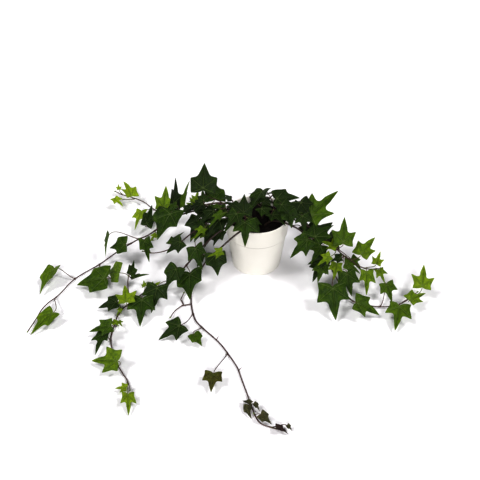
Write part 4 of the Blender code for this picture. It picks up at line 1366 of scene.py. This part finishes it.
def leaf_under():
    s = new_material("ivy_leaf_under")
    place, _, main, side = leaf_veins(s)
    pale = s.mix(0.42, leaf_colour(s, place), (0.13, 0.19, 0.10))
    pale = s.mix(main * 0.6, pale, (0.20, 0.26, 0.12))
    pale = s.mix(side * 0.25, pale, (0.17, 0.23, 0.11))
    normal = s.bump(main + side * 0.5, 0.0004, 0.8)
    rough = s.spread(s.noise(14.0, 3.0, place), 0.52, 0.64)
    return s.finish(Base_Color=pale, Roughness=rough, Normal=normal, Specular_IOR_Level=0.35)


def leaf_dried():
    s = new_material("ivy_leaf_dried")
    place, _, main, _ = leaf_veins(s)
    patch = s.noise(4.0, 5.0, place, 0.7)
    purple = s.fade(s.attribute("age"), *PURPLE_AGES, 0.0, 0.8)
    colour = s.mix(purple, s.ramp(patch, DRIED_STOPS), (0.030, 0.009, 0.014))
    colour = s.mix(main * 0.5, colour, (0.16, 0.13, 0.06))
    normal = s.bump(patch + main * 0.6, 0.0008, 0.9)
    rough = s.spread(patch, 0.55, 0.75)
    return s.finish(Base_Color=colour, Roughness=rough, Normal=normal, Specular_IOR_Level=0.3)


def stem_bark():
    s = new_material("ivy_stem")
    streak = s.noise(240.0, 4.0)
    colour = s.ramp(s.attribute("age") + (streak - 0.5) * 0.5, STEM_STOPS)
    normal = s.bump(streak, 0.0003, 0.7)
    rough = s.spread(streak, 0.45, 0.62)
    return s.finish(Base_Color=colour, Roughness=rough, Normal=normal, Specular_IOR_Level=0.4)


def bud_green():
    s = new_material("ivy_bud")
    streak = s.noise(500.0, 3.0)
    colour = s.ramp(s.attribute("age") + (streak - 0.5) * 0.4, BUD_STOPS)
    normal = s.bump(streak, 0.0002, 0.6)
    return s.finish(Base_Color=colour, Roughness=s.spread(streak, 0.45, 0.6), Normal=normal)


def pot_plastic():
    """Cream plastic, with a line of painted shade just under the rim band."""
    s = new_material("pot_cream_plastic")
    broad = s.noise(9.0, 4.0)
    under = POT_HEIGHT - BAND_HEIGHT - s.split(s.position())[2]
    # Painted shade: the body is darker from the band's lower edge to a few millimetres below it, where the
    # band shades it.
    painted_shade = s.fade(under, *SHADE_LINE_END, 1.0, 0.0) * s.fade(under, *SHADE_LINE_START)
    colour = s.mix(painted_shade * 0.75, s.ramp(broad, POT_STOPS), (0.46, 0.43, 0.38))
    rough = s.spread(s.noise(40.0, 4.0), 0.30, 0.42)
    normal = s.bump(broad + s.noise(900.0, 2.0) * 0.06, 0.0006, 0.5)
    return s.finish(Base_Color=colour, Roughness=rough, Normal=normal, Specular_IOR_Level=0.5)


def dark_soil():
    s = new_material("soil_dark")
    lumps = s.noise(260.0, 6.0, None, 0.65)
    fibre = s.fade(s.noise(60.0, 5.0), 0.60, 0.74, 0.0, 0.4)
    colour = s.mix(fibre, s.ramp(lumps, SOIL_STOPS), (0.040, 0.025, 0.015))
    normal = s.bump(lumps, 0.0012, 1.0)
    rough = s.spread(lumps, 0.85, 0.98)
    return s.finish(Base_Color=colour, Roughness=rough, Normal=normal, Specular_IOR_Level=0.2)


def pale_floor():
    s = new_material("floor_white")
    colour = s.ramp(s.noise(1.5, 2.0), FLOOR_STOPS)
    return s.finish(Base_Color=colour, Roughness=0.9, Specular_IOR_Level=0.1)


def make_camera():
    data = bpy.data.cameras.new("camera")
    data.lens = CAMERA_LENS
    data.sensor_width = CAMERA_SENSOR
    data.dof.use_dof = False
    camera = bpy.data.objects.new("camera", data)
    camera.location = CAMERA_PLACE
    camera.rotation_euler = (math.radians(90 - CAMERA_DOWN_DEGREES), 0, 0)
    bpy.context.scene.collection.objects.link(camera)
    bpy.context.scene.camera = camera


def make_floor():
    signs = ((-1, -1), (1, -1), (1, 1), (-1, 1))
    corners = [Vector((x * FLOOR_REACH, y * FLOOR_REACH, 0.0)) for x, y in signs]
    floor = mesh_object("floor", corners, [(0, 1, 2, 3)], pale_floor())


def soft_light(name, source, strength):
    """Even, soft-edged light that comes from the direction of a point."""
    data = bpy.data.lights.new(name, "SUN")
    data.angle = math.radians(LIGHT_SPREAD_DEGREES)
    data.energy = strength
    data.color = LAMP_WHITE
    light = bpy.data.objects.new(name, data)
    light.location = source
    light.rotation_euler = (-Vector(source)).to_track_quat("-Z", "Y").to_euler()
    bpy.context.scene.collection.objects.link(light)


def make_world():
    """A dim lilac-white room with a pale wall all round at the horizon."""
    world = bpy.data.worlds.new("studio")
    bpy.context.scene.world = world
    s = Shading(world)
    wall, ceiling = (tuple(x * light for x in ROOM_COLOUR) for light in (WALL_LIGHT, CEILING_LIGHT))
    height = s.split(s.position("Generated"))[2]
    colour = s.ramp(height, ((WALL_TOP, wall), (CEILING_START, ceiling)))
    s.feed(s.tree.nodes["Background"].inputs["Color"], colour)


def make_light():
    make_world()
    for name, source, strength in LIGHTS:
        soft_light(name, source, strength)
    view = bpy.context.scene.view_settings
    view.view_transform = "Standard"
    view.exposure = VIEW_EXPOSURE
    view.gamma = VIEW_GAMMA


def main():
    make_camera()
    make_floor()
    make_light()
    make_pot(pot_plastic())
    make_soil(dark_soil())
    materials = [leaf_top(), leaf_under(), leaf_dried(), stem_bark(), bud_green()]
    stems = {name: stem_paths(name) for name in ROUTES}
    leaves = plan_leaves(stems)
    for name, paths in stems.items():
        grow(name, paths, leaves[name], materials)


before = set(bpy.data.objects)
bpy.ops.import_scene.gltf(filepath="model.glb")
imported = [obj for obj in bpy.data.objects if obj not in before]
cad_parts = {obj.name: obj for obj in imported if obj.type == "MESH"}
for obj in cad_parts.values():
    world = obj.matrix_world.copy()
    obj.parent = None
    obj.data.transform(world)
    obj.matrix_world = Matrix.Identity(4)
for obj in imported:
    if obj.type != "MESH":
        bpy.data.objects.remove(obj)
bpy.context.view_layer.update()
main()
